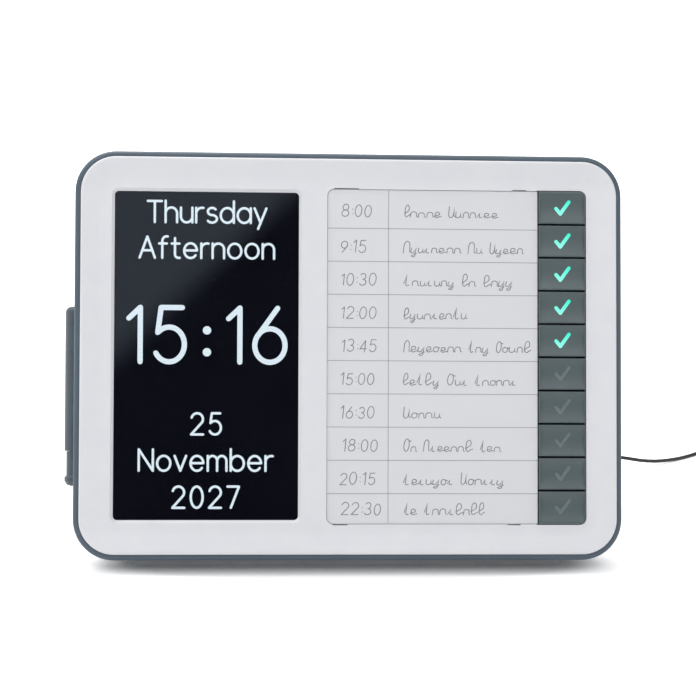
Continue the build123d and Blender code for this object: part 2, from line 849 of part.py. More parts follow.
def key_frame():
    """The plate behind the keys, with a pocket and a pusher hole for each."""
    plate = block(well_left - frame_margin, well_right + frame_margin, key_frame_front,
                  key_frame_back, -well_half_height - frame_margin,
                  well_half_height + frame_margin)
    for index in range(key_count):
        z = key_z(index)
        plate -= block(key_x - stem_half_width - frame_pocket_gap,
                       key_x + stem_half_width + frame_pocket_gap, 0, case_depth,
                       z - stem_half_height - frame_pocket_gap,
                       z + stem_half_height + frame_pocket_gap)
        plate -= disc(key_x + key_pusher_offset, z, 0, case_depth,
                      key_pusher_radius + frame_pocket_gap)
    return plate


def key_board():
    """The circuit board behind the keys."""
    plate = block(key_board_left, key_board_right, key_board_front, key_board_back,
                  -key_board_half_height, key_board_half_height)
    for z in key_post_z:
        plate -= disc(key_post_x, z, 0, case_depth, inner_screw_radius + stack_gap)
    return plate


def key_leds():
    """One small light behind each light guide."""
    half = led_size / 2
    front = key_board_front - led_height
    return [
        block(key_x - half, key_x + half, front, key_board_front, key_z(i) - half,
              key_z(i) + half)
        for i in range(key_count)
    ]


def tact_switch(x, z, seat, height, forward):
    """A small push switch on a circuit board; forward is the way its stem points."""
    half = switch_body / 2
    body_end = seat + forward * (height - switch_stem_height)
    y0, y1 = sorted((seat, body_end))
    body = block(x - half, x + half, y0, y1, z - half, z + half)
    y0, y1 = sorted((body_end, seat + forward * height))
    return body + disc(x, z, y0, y1, switch_stem_radius)


def tact_switches():
    """The switches under the ten tick keys and the three setting keys."""
    height = switch_body_height + switch_stem_height
    switches = [
        tact_switch(key_x + key_pusher_offset, key_z(i), key_board_front, height, -1)
        for i in range(key_count)
    ]
    switches += [
        tact_switch(setting_key_x, z, main_board_back, setting_switch_height, 1)
        for z in setting_key_z
    ]
    return [switch.solids()[0] for switch in switches]


# ---------------------------------------------------------------- electronics
def main_board():
    """The main circuit board on its posts."""
    plate = block(main_board_left, main_board_right, main_board_front, main_board_back,
                  main_board_bottom, main_board_top)
    for x, z in main_post_places():
        plate -= disc(x, z, 0, case_depth, inner_screw_radius + stack_gap)
    return plate


def board_chips():
    """Chips, memory, coils and capacitors on the back of the main board."""
    seat = main_board_back
    parts = []
    for across, down, width, height, thickness in chip_sizes:
        x, z = main_board_left + across, main_board_top - down
        parts.append(block(x - width / 2, x + width / 2, seat, seat + thickness,
                           z - height / 2, z + height / 2))
    for across, down in capacitor_places:
        parts.append(disc(main_board_left + across, main_board_top - down, seat,
                          seat + capacitor_height, capacitor_radius))
    return [part.solids()[0] for part in parts]


def inner_screws():
    """Small screws that hold the circuit boards and the display clips."""
    screws = []
    seats = [(x, z, clip_front + clip_thickness, 1) for x, z in clip_places()]
    seats += [(key_post_x, z, key_board_back, 1) for z in key_post_z]
    seats += [(x, z, main_board_front, -1) for x, z in main_post_places()]
    for x, z, seat, way in seats:
        y0, y1 = sorted((seat, seat + way * inner_screw_head_height))
        screw = disc(x, z, y0, y1, inner_screw_head_radius)
        y0, y1 = sorted((seat, seat - way * (inner_screw_length - 0.5)))
        screws.append((screw + disc(x, z, y0, y1, inner_screw_radius)).solids()[0])
    return screws


def ribbon(points, z0, z1):
    """A flat cable that follows (x, y) points, between two heights."""
    path = Polyline(*points)
    strip = offset(path, amount=ribbon_thickness / 2, side=Side.BOTH)
    return Pos(0, 0, z0) * extrude(make_face(strip.edges()), amount=z1 - z0)


def display_ribbon():
    """The flat cable from the back of the display to the main board."""
    start, end = tray_back + ribbon_lift, main_board_front - ribbon_lift
    bend = main_board_left - ribbon_edge - ribbon_slope
    top = main_board_top - display_ribbon_down
    return ribbon([(bend - ribbon_flat, start), (bend, start), (bend + ribbon_slope, end),
                   (main_board_left + ribbon_lap, end)], top - display_ribbon_width, top)


def key_ribbon():
    """The flat cable from the key board to the main board."""
    start, end = key_board_back + ribbon_lift, main_board_back + ribbon_lift
    bend = main_board_right + ribbon_edge
    top = main_board_top - key_ribbon_down
    return ribbon([(key_board_left + ribbon_flat, start), (bend + ribbon_slope, start),
                   (bend, end), (main_board_right - ribbon_lap, end)],
                  top - key_ribbon_width, top)


def speaker():
    """The loudspeaker: rim, basket and magnet in one turned solid."""
    front = speaker_depth
    profile = [(0, 0), (8, 0), (8, 3), (12, 3.4), (15, front - 1.4), (speaker_radius, front - 1.4),
               (speaker_radius, front), (14.5, front), (10, front - 3), (0, front - 3.6)]
    return Pos(speaker_x, back_inside - stack_gap - front, speaker_z) * turned(profile)


def coin_cell():
    """The backup cell."""
    start = main_board_back + cell_holder_floor + stack_gap
    return fillet(disc(cell_x, cell_z, start, start + cell_thickness, cell_radius).edges(), 0.3)


def cell_holder():
    """The holder that the cell slides into, open at its top side."""
    start = main_board_back + stack_gap
    outer = cell_radius + cell_holder_wall
    end = start + cell_holder_floor + cell_thickness
    cup = disc(cell_x, cell_z, start, end, outer)
    cup -= disc(cell_x, cell_z, start + cell_holder_floor, end + 1, cell_radius + 0.1)
    return cup - block(cell_x - outer, cell_x + outer, start + cell_holder_floor, end + 1,
                       cell_z + cell_radius / 2, cell_z + outer + 1)


# ---------------------------------------------------------------- setting keys
def setting_key(z):
    """A round key in the back, kept in by its flange."""
    cap = disc(setting_key_x, z, setting_stem_end, case_depth + setting_key_proud,
               setting_key_radius)
    cap = fillet(edges_at(cap, case_depth + setting_key_proud), 0.5)
    flange_back = back_inside - stack_gap * 3
    return cap + disc(setting_key_x, z, flange_back - setting_key_flange_thickness,
                      flange_back, setting_key_radius + setting_key_flange)


# ---------------------------------------------------------------- supply socket and plug
def dc_socket():
    """The supply socket on the main board, open to the back."""
    half = socket_size / 2
    start, end = main_board_back + stack_gap, back_inside - stack_gap * 2
    body = block(socket_x - half, socket_x + half, start, end, socket_z - half,
                 socket_z + half)
    body -= disc(socket_x, socket_z, socket_bore_floor, end + 1, socket_bore_radius)
    return body + disc(socket_x, socket_z, start + 0.5, end - 1, socket_pin_radius)


def power_plug():
    """The plug in the socket: its metal barrel, and the moulded body with a tapered relief."""
    start = case_depth + plug_case_gap
    end = start + plug_length
    body = turned([(0, start), (plug_radius - plug_fillet, start),
                   (plug_radius, start + plug_fillet), (plug_radius, end - 2.5),
                   (relief_start_radius, end), (relief_end_radius, end + relief_length),
                   (0, end + relief_length)])
    tip = socket_bore_floor + barrel_tip_gap
    barrel = disc(0, 0, tip, start, barrel_radius)
    barrel -= disc(0, 0, tip - 1, start + 1, barrel_bore_radius)
    place = Pos(socket_x, 0, socket_z)
    return [(place * body).solids()[0], (place * barrel).solids()[0]]


# ---------------------------------------------------------------- pen
def pen_place():
    """Carries a turned solid from the Y axis to the pen's axis, with Y turned up the panel."""
    return Pos(pen_x, pen_y, 0) * Rot(90, 0, 0)


def pen_barrel():
    """The pen's body and the slimmer section that the cap covers."""
    r, f = pen_radius, pen_top_fillet
    body = turned([(0, pen_shoulder - pen_section_length),
                   (pen_section_radius - 0.8, pen_shoulder - pen_section_length),
                   (pen_section_radius, pen_shoulder - pen_section_length + 2.0),
                   (pen_section_radius, pen_shoulder), (r, pen_shoulder), (r, pen_top),
                   (0, pen_top)])
    body = fillet(edges_at(body, pen_top), f)
    bore = disc(0, 0, pen_shoulder - pen_section_length - 1,
                pen_shoulder - pen_section_length + nib_length, nib_radius + stack_gap)
    return pen_place() * (body - bore)


def pen_nib():
    """The felt tip."""
    base = pen_shoulder - pen_section_length + nib_length - stack_gap
    tip = pen_shoulder - pen_section_length - nib_length
    return pen_place() * turned([(0, tip), (nib_radius * 0.5, tip + 0.2),
                                 (nib_radius, tip + 1.2), (nib_radius, base), (0, base)])


def pen_cap():
    """The cap over the tip, with a narrow neck and a rounded end."""
    top = pen_shoulder - cap_shoulder_gap
    neck_end = top - cap_neck_length
    cap = turned([(0, pen_bottom), (pen_radius - 3.0, pen_bottom),
                  (pen_radius - 1.2, pen_bottom + 0.7), (pen_radius, pen_bottom + 2.6),
                  (pen_radius, neck_end - 0.8), (cap_neck_radius, neck_end),
                  (cap_neck_radius, top), (0, top)])
    bore = turned([(0, top - cap_bore_depth),
                   (pen_section_radius + cap_bore_gap, top - cap_bore_depth),
                   (pen_section_radius + cap_bore_gap, top + 1), (0, top + 1)])
    return pen_place() * (cap - bore)


def pen_holder():
    """The clip on the left side of the case: two open rings on a pegged plate."""
    wall_x = -housing_half_width - holder_gap
    plate_x = wall_x - holder_plate
    top = clip_ring_z[0] + clip_ring_height + holder_margin
    bottom = clip_ring_z[-1] - holder_margin
    holder = block(plate_x, wall_x, pen_y - holder_half_width, pen_y + holder_half_width,
                   bottom, top)
    inner = pen_radius + clip_ring_gap
    for z in clip_ring_z:
        middle = z + clip_ring_height / 2
        ring = Pos(pen_x, pen_y, middle) * Cylinder(inner + clip_ring_wall, clip_ring_height)
        ring += block(pen_x, plate_x + 0.5, pen_y - 3, pen_y + 3, z, z + clip_ring_height)
        ring -= Pos(pen_x, pen_y, middle) * Cylinder(inner, clip_ring_height + 2)
        lips = pen_x - inner * cos(radians(clip_opening_angle))
        ring -= block(lips - 20, lips, pen_y - 20, pen_y + 20, z - 1,
                      z + clip_ring_height + 1)
        holder += ring
        holder += bar_x(wall_x - 0.5, wall_x + holder_peg_length, pen_y, middle,
                        holder_peg_radius)
    return holder


# ---------------------------------------------------------------- leg
def leg_location():
    """Turns the leg about its hinge from folded to open."""
    return (Pos(0, hinge_y, leg_hinge_z) * Rot(leg_open_angle, 0, 0)
            * Pos(0, -hinge_y, -leg_hinge_z))


def stand_leg():
    """The leg, drawn folded: a tapered channel with a knuckle at its top."""
    y0 = case_depth + leg_case_gap
    y1 = y0 + leg_thickness
    top = leg_hinge_z
    bottom = leg_foot_z + leg_foot_radius
    outline = make_face(Polyline((-leg_top_half_width, top), (leg_top_half_width, top),
                                 (leg_bottom_half_width, bottom),
                                 (-leg_bottom_half_width, bottom), close=True))
    low = outline.vertices().sort_by(Axis.Y)[:2]
    outline = fillet(low, leg_corner_radius)
    plate = extrude(on_panel(y1) * outline, amount=leg_thickness)
    room = offset(outline, amount=-leg_rib, kind=Kind.INTERSECTION)
    plate -= extrude(on_panel(y1 + 1) * room, amount=leg_thickness - leg_web + 1)
    plate += bar_x(-leg_knuckle_half_width, leg_knuckle_half_width, hinge_y, leg_hinge_z,
                   leg_knuckle_radius)
    plate -= bar_x(-leg_knuckle_half_width - 1, leg_knuckle_half_width + 1, hinge_y,
                   leg_hinge_z, hinge_pin_radius + hinge_bore_gap)
    return leg_location() * (plate + leg_tongue_bar(0))


def leg_tongue_bar(gap):
    """The tongue at the leg's end that the rubber foot is pushed onto, grown by a gap."""
    half = leg_bottom_half_width - leg_foot_margin - leg_corner_radius + gap
    top = leg_foot_z + leg_foot_radius
    return block(-half, half, leg_foot_y - leg_tongue / 2 - gap, leg_foot_y + leg_tongue / 2
                 + gap, top - leg_tongue_length - gap, top + 1)


def leg_foot():
    """The rubber bar in the end of the leg."""
    half = leg_bottom_half_width - leg_foot_margin
    bar = bar_x(-half, half, leg_foot_y, leg_foot_z, leg_foot_radius)
    bar = fillet(bar.edges().filter_by(GeomType.CIRCLE), 0.8)
    return leg_location() * (bar - leg_tongue_bar(leg_tongue_gap))


def leg_pin():
    """The steel pin through both ears and the leg's knuckle."""
    end = leg_knuckle_half_width + ear_gap + ear_width
    return bar_x(-end, end, hinge_y, leg_hinge_z, hinge_pin_radius)


# ---------------------------------------------------------------- supply lead
def coil_radii():
    """The radius of each column of turns, from the inside out."""
    middle = (coil_columns - 1) / 2
    return [coil_turn_radius + (i - middle) * cord_diameter for i in range(coil_columns)]


def coil_entry():
    """Where the cord meets the outermost turn, and where its straight run into it starts."""
    hx, hy = coil_entry_heading
    outer = coil_radii()[-1]
    x, y = coil_center_x - outer * hy, coil_center_y + outer * hx
    return (x, y), (x - hx * coil_entry_run, y - hy * coil_entry_run)


def coil_approach():
    """The last corner of the cord on the floor, in line with the coil's entry."""
    hx, hy = coil_entry_heading
    x, y = coil_entry()[1]
    return x - hx * coil_entry_straight, y - hy * coil_entry_straight


def cord_route():
    """The points of the cord from the plug's relief to the coil, hand-chosen on the floor."""
    tip = case_depth + plug_case_gap + plug_length + relief_length
    start = stood(socket_x, tip, socket_z)
    second = stood(socket_x, tip + 14, socket_z)
    entry_x, entry_y = coil_entry()[1]
    floor = cord_diameter / 2
    return [start, second, (64, 89, 22.5), (72, 108, 17), (87, 126, 13), (108, 140, 10.5),
            (134, 149.5, 9), (160, 155.5, 8), (181, 161.5, 2.6), (199, 172.5, floor),
            (*coil_approach(), floor), (entry_x, entry_y, floor)]


def corner_radii(points):
    """An arc for each corner, as large as its two runs allow."""
    radii = []
    for a, b, c in zip(points, points[1:], points[2:]):
        before, after = Vector(*b) - Vector(*a), Vector(*c) - Vector(*b)
        shorter = min(before.length, after.length)
        turn = radians(before.get_angle(after))
        radii.append(0.45 * shorter / tan(turn / 2))
    return radii


def cord():
    """The tube along the stretch of cord that isn't coiled."""
    points = cord_route()
    radii = corner_radii(points)
    print("cord arc radii", [round(radius, 1) for radius in radii])
    path = FilletPolyline(*points, radius=radii)
    start = Plane(path @ 0, z_dir=path % 0)
    tube = sweep(start * Circle(cord_diameter / 2), path=path)
    section = pi * cord_diameter ** 2 / 4
    print("cord tube length", round(path.length, 1), "volume over section times length",
          round(tube.volume / (section * path.length), 4))
    turns = coil_columns * coil_layers
    wound = sum(2 * pi * radius * coil_layers for radius in coil_radii())
    print("cord whole length", round(path.length + wound + coil_entry_run + coil_exit_run, 1),
          "of", cord_length, "in", turns, "turns")
    return tube


def cord_coil():
    """The outer shape of the coiled length, with the short straight run at each end."""
    radii = coil_radii()
    inner, outer = radii[0] - cord_diameter / 2, radii[-1] + cord_diameter / 2
    height = coil_layers * cord_diameter
    ring = Cylinder(outer, height) - Cylinder(inner, height + 1)
    ring = fillet(ring.edges().filter_by(GeomType.CIRCLE), cord_diameter / 3)
    ring = Pos(coil_center_x, coil_center_y, height / 2) * ring
    (x1, y1), (x0, y0) = coil_entry()
    floor = cord_diameter / 2
    stub = floor - coil_stub_inset
    entry = Plane((x0, y0, floor), z_dir=(x1 - x0, y1 - y0, 0)) * Circle(stub)
    ring += extrude(entry, amount=coil_entry_run)
    leave = Plane((coil_center_x + radii[-1], coil_center_y, coil_exit_height),
                  z_dir=(0, -1, 0)) * Circle(stub)
    return ring + extrude(leave, amount=coil_exit_run)


def supply_plug():
    """The moulded body of the far-end plug, and the contact tongue inside its shell."""
    x = coil_center_x + coil_radii()[-1]
    start = coil_center_y - coil_exit_run
    half_w, half_h = supply_plug_width / 2, supply_plug_height / 2
    z = coil_exit_height
    body_start = start - supply_plug_relief
    body_end = start - supply_plug_length
    body = block(x - half_w, x + half_w, body_end, body_start, z - half_h, z + half_h)
    body = fillet(body.edges().filter_by(Axis.Y), 1.6)
    relief = Plane((x, body_start, z), z_dir=(0, 1, 0)) * Circle(cord_diameter * 0.95)
    neck = Plane((x, start, z), z_dir=(0, 1, 0)) * Circle(cord_diameter * 0.68)
    body += loft([relief, neck])
    shell_half = supply_shell_width / 2 - supply_shell_wall - 0.1
    under = z - supply_shell_height / 2 + supply_shell_wall + 0.1
    tongue = block(x - shell_half, x + shell_half, body_end - supply_shell_length + 1,
                   body_end, under, under + supply_tongue_height)
    return [body.solids()[0], tongue.solids()[0]]


def supply_shell():
    """The metal shell of the far-end plug."""
    x = coil_center_x + coil_radii()[-1]
    body_end = coil_center_y - coil_exit_run - supply_plug_length
    half_w, half_h = supply_shell_width / 2, supply_shell_height / 2
    z, wall = coil_exit_height, supply_shell_wall
    outer = block(x - half_w, x + half_w, body_end - supply_shell_length, body_end,
                  z - half_h, z + half_h)
    return outer - block(x - half_w + wall, x + half_w - wall,
                         body_end - supply_shell_length - 1, body_end + 1,
                         z - half_h + wall, z + half_h - wall)


# ---------------------------------------------------------------- all nodes
def main():
    """Builds every node and writes its file."""
    export("rear_shell", rear_shell())
    export("front_bezel", front_bezel())
    export("case_screws", case_screws())
    export("front_foot", front_foot())
    export("hanger_plates", hanger_plates())
    export("display_glass", around_screen(glass_overlap, glass_front, glass_back, 3))
    export("display_gasket", display_gasket())
    export("lcd_panel", around_screen(lcd_overlap, lcd_front, lcd_back, 1))
    export("backlight_tray", backlight_tray())
    export("display_clips", display_clips())
    export("task_board", task_board())
    for index in range(key_count):
        export(f"tick_key_{index + 1}", tick_key(index))
        export(f"tick_lens_{index + 1}", tick_lens(index))
    export("key_frame", key_frame())
    export("key_board", key_board())
    export("key_leds", key_leds())
    export("tact_switches", tact_switches())
    export("main_board", main_board())
    export("board_chips", board_chips())
    export("inner_screws", inner_screws())
    export("display_ribbon", display_ribbon())
    export("key_ribbon", key_ribbon())
    export("speaker", speaker())
    export("coin_cell", coin_cell())
    export("cell_holder", cell_holder())
    for number, z in enumerate(setting_key_z, start=1):
        export(f"setting_key_{number}", setting_key(z))
    export("dc_socket", dc_socket())
    export("power_plug", power_plug())
    export("pen_holder", pen_holder())
    export("pen_barrel", pen_barrel())
    export("pen_nib", pen_nib())
    export("pen_cap", pen_cap())
    export("stand_leg", stand_leg())
    export("leg_foot", leg_foot())
    export("leg_pin", leg_pin())
    level = Pos(0, 0, 0)
    export("cord", cord(), level)
    export("cord_coil", cord_coil(), level)
    export("supply_plug", supply_plug(), level)
    export("supply_shell", supply_shell(), level)


main()
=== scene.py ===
"""The looks of a leaning day clock: finishes, screen figures, board marks, lead and studio."""
import json
import logging
import math
import random
from collections.abc import Callable
from dataclasses import dataclass
from enum import Enum
from functools import partial

import bmesh
import bpy
from mathutils import Matrix, Vector


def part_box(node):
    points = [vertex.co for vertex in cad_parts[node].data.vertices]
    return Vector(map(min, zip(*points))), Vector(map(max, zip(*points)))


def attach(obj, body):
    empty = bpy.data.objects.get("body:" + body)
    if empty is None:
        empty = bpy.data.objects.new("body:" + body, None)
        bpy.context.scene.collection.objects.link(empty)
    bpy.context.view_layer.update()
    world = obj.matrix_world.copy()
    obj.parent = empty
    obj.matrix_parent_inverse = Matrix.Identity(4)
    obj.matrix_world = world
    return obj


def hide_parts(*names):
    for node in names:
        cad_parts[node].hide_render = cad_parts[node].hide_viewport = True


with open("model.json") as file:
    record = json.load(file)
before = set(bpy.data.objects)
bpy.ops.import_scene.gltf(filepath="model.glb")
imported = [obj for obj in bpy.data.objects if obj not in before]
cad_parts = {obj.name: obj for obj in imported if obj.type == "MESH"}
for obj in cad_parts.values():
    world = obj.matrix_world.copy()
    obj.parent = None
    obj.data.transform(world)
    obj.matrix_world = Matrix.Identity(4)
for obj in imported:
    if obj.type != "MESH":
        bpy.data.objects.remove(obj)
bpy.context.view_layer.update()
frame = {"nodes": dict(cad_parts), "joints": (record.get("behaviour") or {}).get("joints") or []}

MM = 0.001
LOG = logging.getLogger("day_clock")

Node, Socket, NodeTree = bpy.types.Node, bpy.types.NodeSocket, bpy.types.NodeTree
Material, Mesh, Object = bpy.types.Material, bpy.types.Mesh, bpy.types.Object
Adder = Callable[..., Node]
Stroke = list[tuple[float, float]]

NOISE_BAND = (0.3, 0.7)  # nearly all values of a noise texture lie in it
WAVE_RATE = 20.0  # radians of a wave texture for one unit of its scale
BRICK_ROW = 0.25  # height of a brick texture's row at a scale of 1
WHITE = (1.0, 1.0, 1.0, 1.0)


def linear(colour: str) -> tuple[float, float, float, float]:
    """Turns an sRGB colour into the linear one that a socket takes.

    Args:
        colour: "#rrggbb".

    Returns:
        Linear red, green, blue and an alpha of 1.
    """
    parts = [int(colour[i:i + 2], 16) / 255 for i in (1, 3, 5)]
    flat = [p / 12.92 if p <= 0.04045 else ((p + 0.055) / 1.055) ** 2.4 for p in parts]
    return (flat[0], flat[1], flat[2], 1.0)


def fill(node: Node, inputs: dict) -> None:
    """Sets a node's inputs.

    Args:
        node: The node.
        inputs: Socket name or number to a value, a socket, or a node whose first output feeds it.
    """
    for label, value in inputs.items():
        source = value.outputs[0] if isinstance(value, Node) else value
        if isinstance(source, Socket):
            node.id_data.links.new(source, node.inputs[label])
        else:
            node.inputs[label].default_value = source


def add_node(tree: NodeTree, kind: str, inputs: dict | None = None,
             stops: tuple[tuple[float, str], ...] = (), **settings: object) -> Node:
    """Adds one node with its settings, values and links.

    Args:
        tree: The shader or geometry tree that the node joins.
        kind: The node's type name.
        inputs: Its inputs, as fill() takes them.
        stops: The positions and colours of a ramp's two ends.
        settings: Properties of the node itself.

    Returns:
        The new node.
    """
    made = tree.nodes.new(kind)
    for label, value in settings.items():
        setattr(made, label, value)
    for index, (position, colour) in enumerate(stops):
        made.color_ramp.elements[index].position = position
        made.color_ramp.elements[index].color = linear(colour)
    fill(made, inputs or {})
    return made


def per_metre(size_mm: float) -> float:
    """The texture scale whose features are this many millimetres across."""
    return 1.0 / (size_mm * MM)


# ------------------------------------------------------------------ where the clock stands
class Side(Enum):
    """Which side of the case a drawing faces; the value is where its right lies on the case."""

    FRONT = 1
    BACK = -1

    def axes(self, depth: float, rise: float = 0.0) -> Matrix:
        """Right, up and out of this side, this deep in the clock, to the case's own axes."""
        return Matrix(((self.value, 0, 0, 0), (0, 0, -self.value, depth), (0, 1, 0, rise),
                       (0, 0, 0, 1)))


@dataclass(frozen=True)
class Stance:
    """How the case leans and where its own origin is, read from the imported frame.

    The case's own axes are X to the right, Y into the clock and Z up its face, in millimetres.
    """

    lean: float
    origin: Vector
    lip: float = 1.0

    @classmethod
    def from_frame(cls) -> "Stance":
        """Reads the lean from the board's joint and the origin from the front bezel.

        Returns:
            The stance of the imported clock.
        """
        outward = next(j["axis"] for j in frame["joints"] if j["name"] == "board_lift")
        lean = math.atan2(outward[2], -outward[1])
        low, high = cls(lean, Vector()).local_box("front_bezel")
        middle = Vector(((low.x + high.x) / 2, low.y + cls.lip, (low.z + high.z) / 2))
        return cls(lean, Matrix.Rotation(-lean, 3, "X") @ middle * MM)

    def matrix(self) -> Matrix:
        """The case's millimetres to the row frame's metres."""
        turn = Matrix.Rotation(-self.lean, 4, "X")
        return Matrix.Translation(self.origin) @ turn @ Matrix.Scale(MM, 4)

    def plane(self, side: Side, depth: float) -> Matrix:
        """A drawing's millimetres on one side, this deep in the clock, to the row frame."""
        return self.matrix() @ side.axes(depth)

    def local_box(self, node: str) -> tuple[Vector, Vector]:
        """A CAD node's corners in the case's own axes.

        Args:
            node: The node's name.

        Returns:
            Lowest and highest corner in millimetres.
        """
        back = self.matrix().inverted()
        places = [back @ v.co for v in frame["nodes"][node].data.vertices]
        low = Vector(min(p[i] for p in places) for i in range(3))
        high = Vector(max(p[i] for p in places) for i in range(3))
        return low, high


# ------------------------------------------------------------------ finishes
@dataclass(frozen=True)
class Finish:
    """A surface: what it is made of and how it was made."""

    name: str
    colour: str
    roughness: float
    ior: float = 1.5

    def material(self) -> Material:
        """The finish as a material, made once."""
        return bpy.data.materials.get(self.name) or self.make()

    def make(self) -> Material:
        """Makes the material: one shader, and the pattern of this kind of finish.

        Returns:
            The material.
        """
        made = bpy.data.materials.new(self.name)
        made.use_nodes = True
        made.diffuse_color = linear(self.colour)
        add = partial(add_node, made.node_tree)
        place = add("ShaderNodeTexCoord").outputs["Object"]
        plain = {"Base Color": linear(self.colour), "Roughness": self.roughness, "IOR": self.ior}
        fill(made.node_tree.nodes["Principled BSDF"], plain | self.pattern(add, place))
        return made

    def pattern(self, add: Adder, place: Socket) -> dict[str, object]:
        """Adds what makes the surface uneven, at Object coordinates.

        Args:
            add: Adds a node to the material.
            place: The Object coordinates.

        Returns:
            The shader's inputs that differ from those of a plain finish, which has no pattern.
        """
        return {}


@dataclass(frozen=True)
class Moulded(Finish):
    """Injection-moulded plastic or rubber.

    A faint grain from the tool's texture breaks up the highlights, and the colour drifts a
    little from one place to the next where the melt cooled.
    """

    drift: str = "#808080"
    drift_mm: float = 14.0
    grain_mm: float = 0.7
    grain_depth_mm: float = 0.012
    gloss_swing: float = 0.08
    coat: float = 0.0
    coat_roughness: float = 0.1
    sheen: float = 0.0

    def pattern(self, add: Adder, place: Socket) -> dict[str, object]:
        """Adds drifting colour, uneven gloss and grain."""
        first, last = NOISE_BAND
        cloud = add("ShaderNodeTexNoise", {
            "Vector": place, "Scale": per_metre(self.drift_mm), "Detail": 4.0, "Roughness": 0.55,
        })
        hue = add("ShaderNodeValToRGB", {"Fac": cloud},
                  stops=((first, self.drift), (last, self.colour)))
        gloss = add("ShaderNodeMapRange", {
            "Value": cloud, "From Min": first, "From Max": last,
            "To Min": self.roughness * (1.0 + self.gloss_swing),
            "To Max": self.roughness * (1.0 - self.gloss_swing),
        })
        grain = add("ShaderNodeTexNoise", {
            "Vector": place, "Scale": per_metre(self.grain_mm), "Detail": 3.0, "Roughness": 0.6,
        })
        bump = add("ShaderNodeBump", {"Height": grain, "Distance": self.grain_depth_mm * MM})
        return {
            "Base Color": hue, "Roughness": gloss, "Normal": bump, "Coat Weight": self.coat,
            "Coat Roughness": self.coat_roughness, "Sheen Weight": self.sheen,
        }


@dataclass(frozen=True)
class Plated(Finish):
    """Plated steel or rolled aluminium: drawn lines along X under a slightly cloudy skin."""

    line_mm: float = 0.35
    line_length: float = 40.0
    gloss_swing: float = 0.3
    cloud: str = "#8a8c8f"

    def pattern(self, add: Adder, place: Socket) -> dict[str, object]:
        """Adds the drawn lines and the cloudy plating."""
        stretch = add("ShaderNodeMapping", {
            "Vector": place, "Scale": (1.0 / self.line_length, 1.0, 1.0),
        })
        lines = add("ShaderNodeTexNoise", {
            "Vector": stretch, "Scale": per_metre(self.line_mm), "Detail": 2.0,
        })
        tone = add("ShaderNodeValToRGB", {"Fac": lines},
                   stops=((0.35, self.cloud), (0.6, self.colour)))
        gloss = add("ShaderNodeMapRange", {
            "Value": lines, "To Min": self.roughness * (1.0 - self.gloss_swing),
            "To Max": self.roughness * (1.0 + self.gloss_swing),
        })
        return {"Metallic": 1.0, "Base Color": tone, "Roughness": gloss}


@dataclass(frozen=True)
class CoverGlass(Finish):
    """Float glass: clear and sharp, with faint smears where a cloth has wiped it."""

    smear_mm: float = 22.0
    smear: float = 0.05
    wipe_turn: float = 0.6
    wipe_stretch: float = 0.35

    def pattern(self, add: Adder, place: Socket) -> dict[str, object]:
        """Makes the glass clear, and its gloss a little softer along the smears."""
        wiped = add("ShaderNodeMapping", {
            "Vector": place, "Rotation": (0.0, self.wipe_turn, 0.0),
            "Scale": (self.wipe_stretch, 1.0, 1.0),
        })
        smears = add("ShaderNodeTexNoise", {
            "Vector": wiped, "Scale": per_metre(self.smear_mm), "Detail": 4.0,
        })
        gloss = add("ShaderNodeMapRange", {
            "Value": smears, "From Min": 0.5, "From Max": 0.75, "To Min": self.roughness,
            "To Max": self.smear,
        })
        return {"Transmission Weight": 1.0, "Roughness": gloss}


@dataclass(frozen=True)
class LitFigure(Finish):
    """Open pixels of the panel: the backlight shows through, with the faintest trace of rows.

    Real rows are about a tenth of this pitch, too fine to show, so they are drawn coarser.
    """

    strength: float = 1.0
    row_mm: float = 0.3 * math.tau
    row_swing: float = 0.03
    closed: str = "#101010"

    def pattern(self, add: Adder, place: Socket) -> dict[str, object]:
        """Adds the glow with the panel's rows."""
        rows = add("ShaderNodeTexWave", {
            "Vector": place, "Scale": per_metre(self.row_mm) * math.tau / WAVE_RATE,
            "Distortion": 0.0,
        }, bands_direction="Z")
        glow = add("ShaderNodeMapRange", {
            "Value": rows.outputs["Fac"], "To Min": self.strength * (1.0 - self.row_swing),
            "To Max": self.strength * (1.0 + self.row_swing),
        })
        return {
            "Base Color": linear(self.closed), "Specular IOR Level": 0.0,
            "Emission Color": linear(self.colour), "Emission Strength": glow,
        }


@dataclass(frozen=True)
class PanelFace(Finish):
    """Polarizer film over closed pixels: near black, with a little backlight leaking through."""

    leak: str = "#0a0b14"
    leak_mm: float = 60.0
    leak_range: tuple[float, float] = (0.7, 1.15)

    def pattern(self, add: Adder, place: Socket) -> dict[str, object]:
        """Adds the uneven leak of the backlight."""
        cloud = add("ShaderNodeTexNoise", {
            "Vector": place, "Scale": per_metre(self.leak_mm), "Detail": 1.0,
        })
        leak = add("ShaderNodeMapRange", {
            "Value": cloud, "From Min": NOISE_BAND[0], "From Max": NOISE_BAND[1],
            "To Min": self.leak_range[0], "To Max": self.leak_range[1],
        })
        return {"Specular IOR Level": 0.0, "Emission Color": linear(self.leak),
                "Emission Strength": leak}


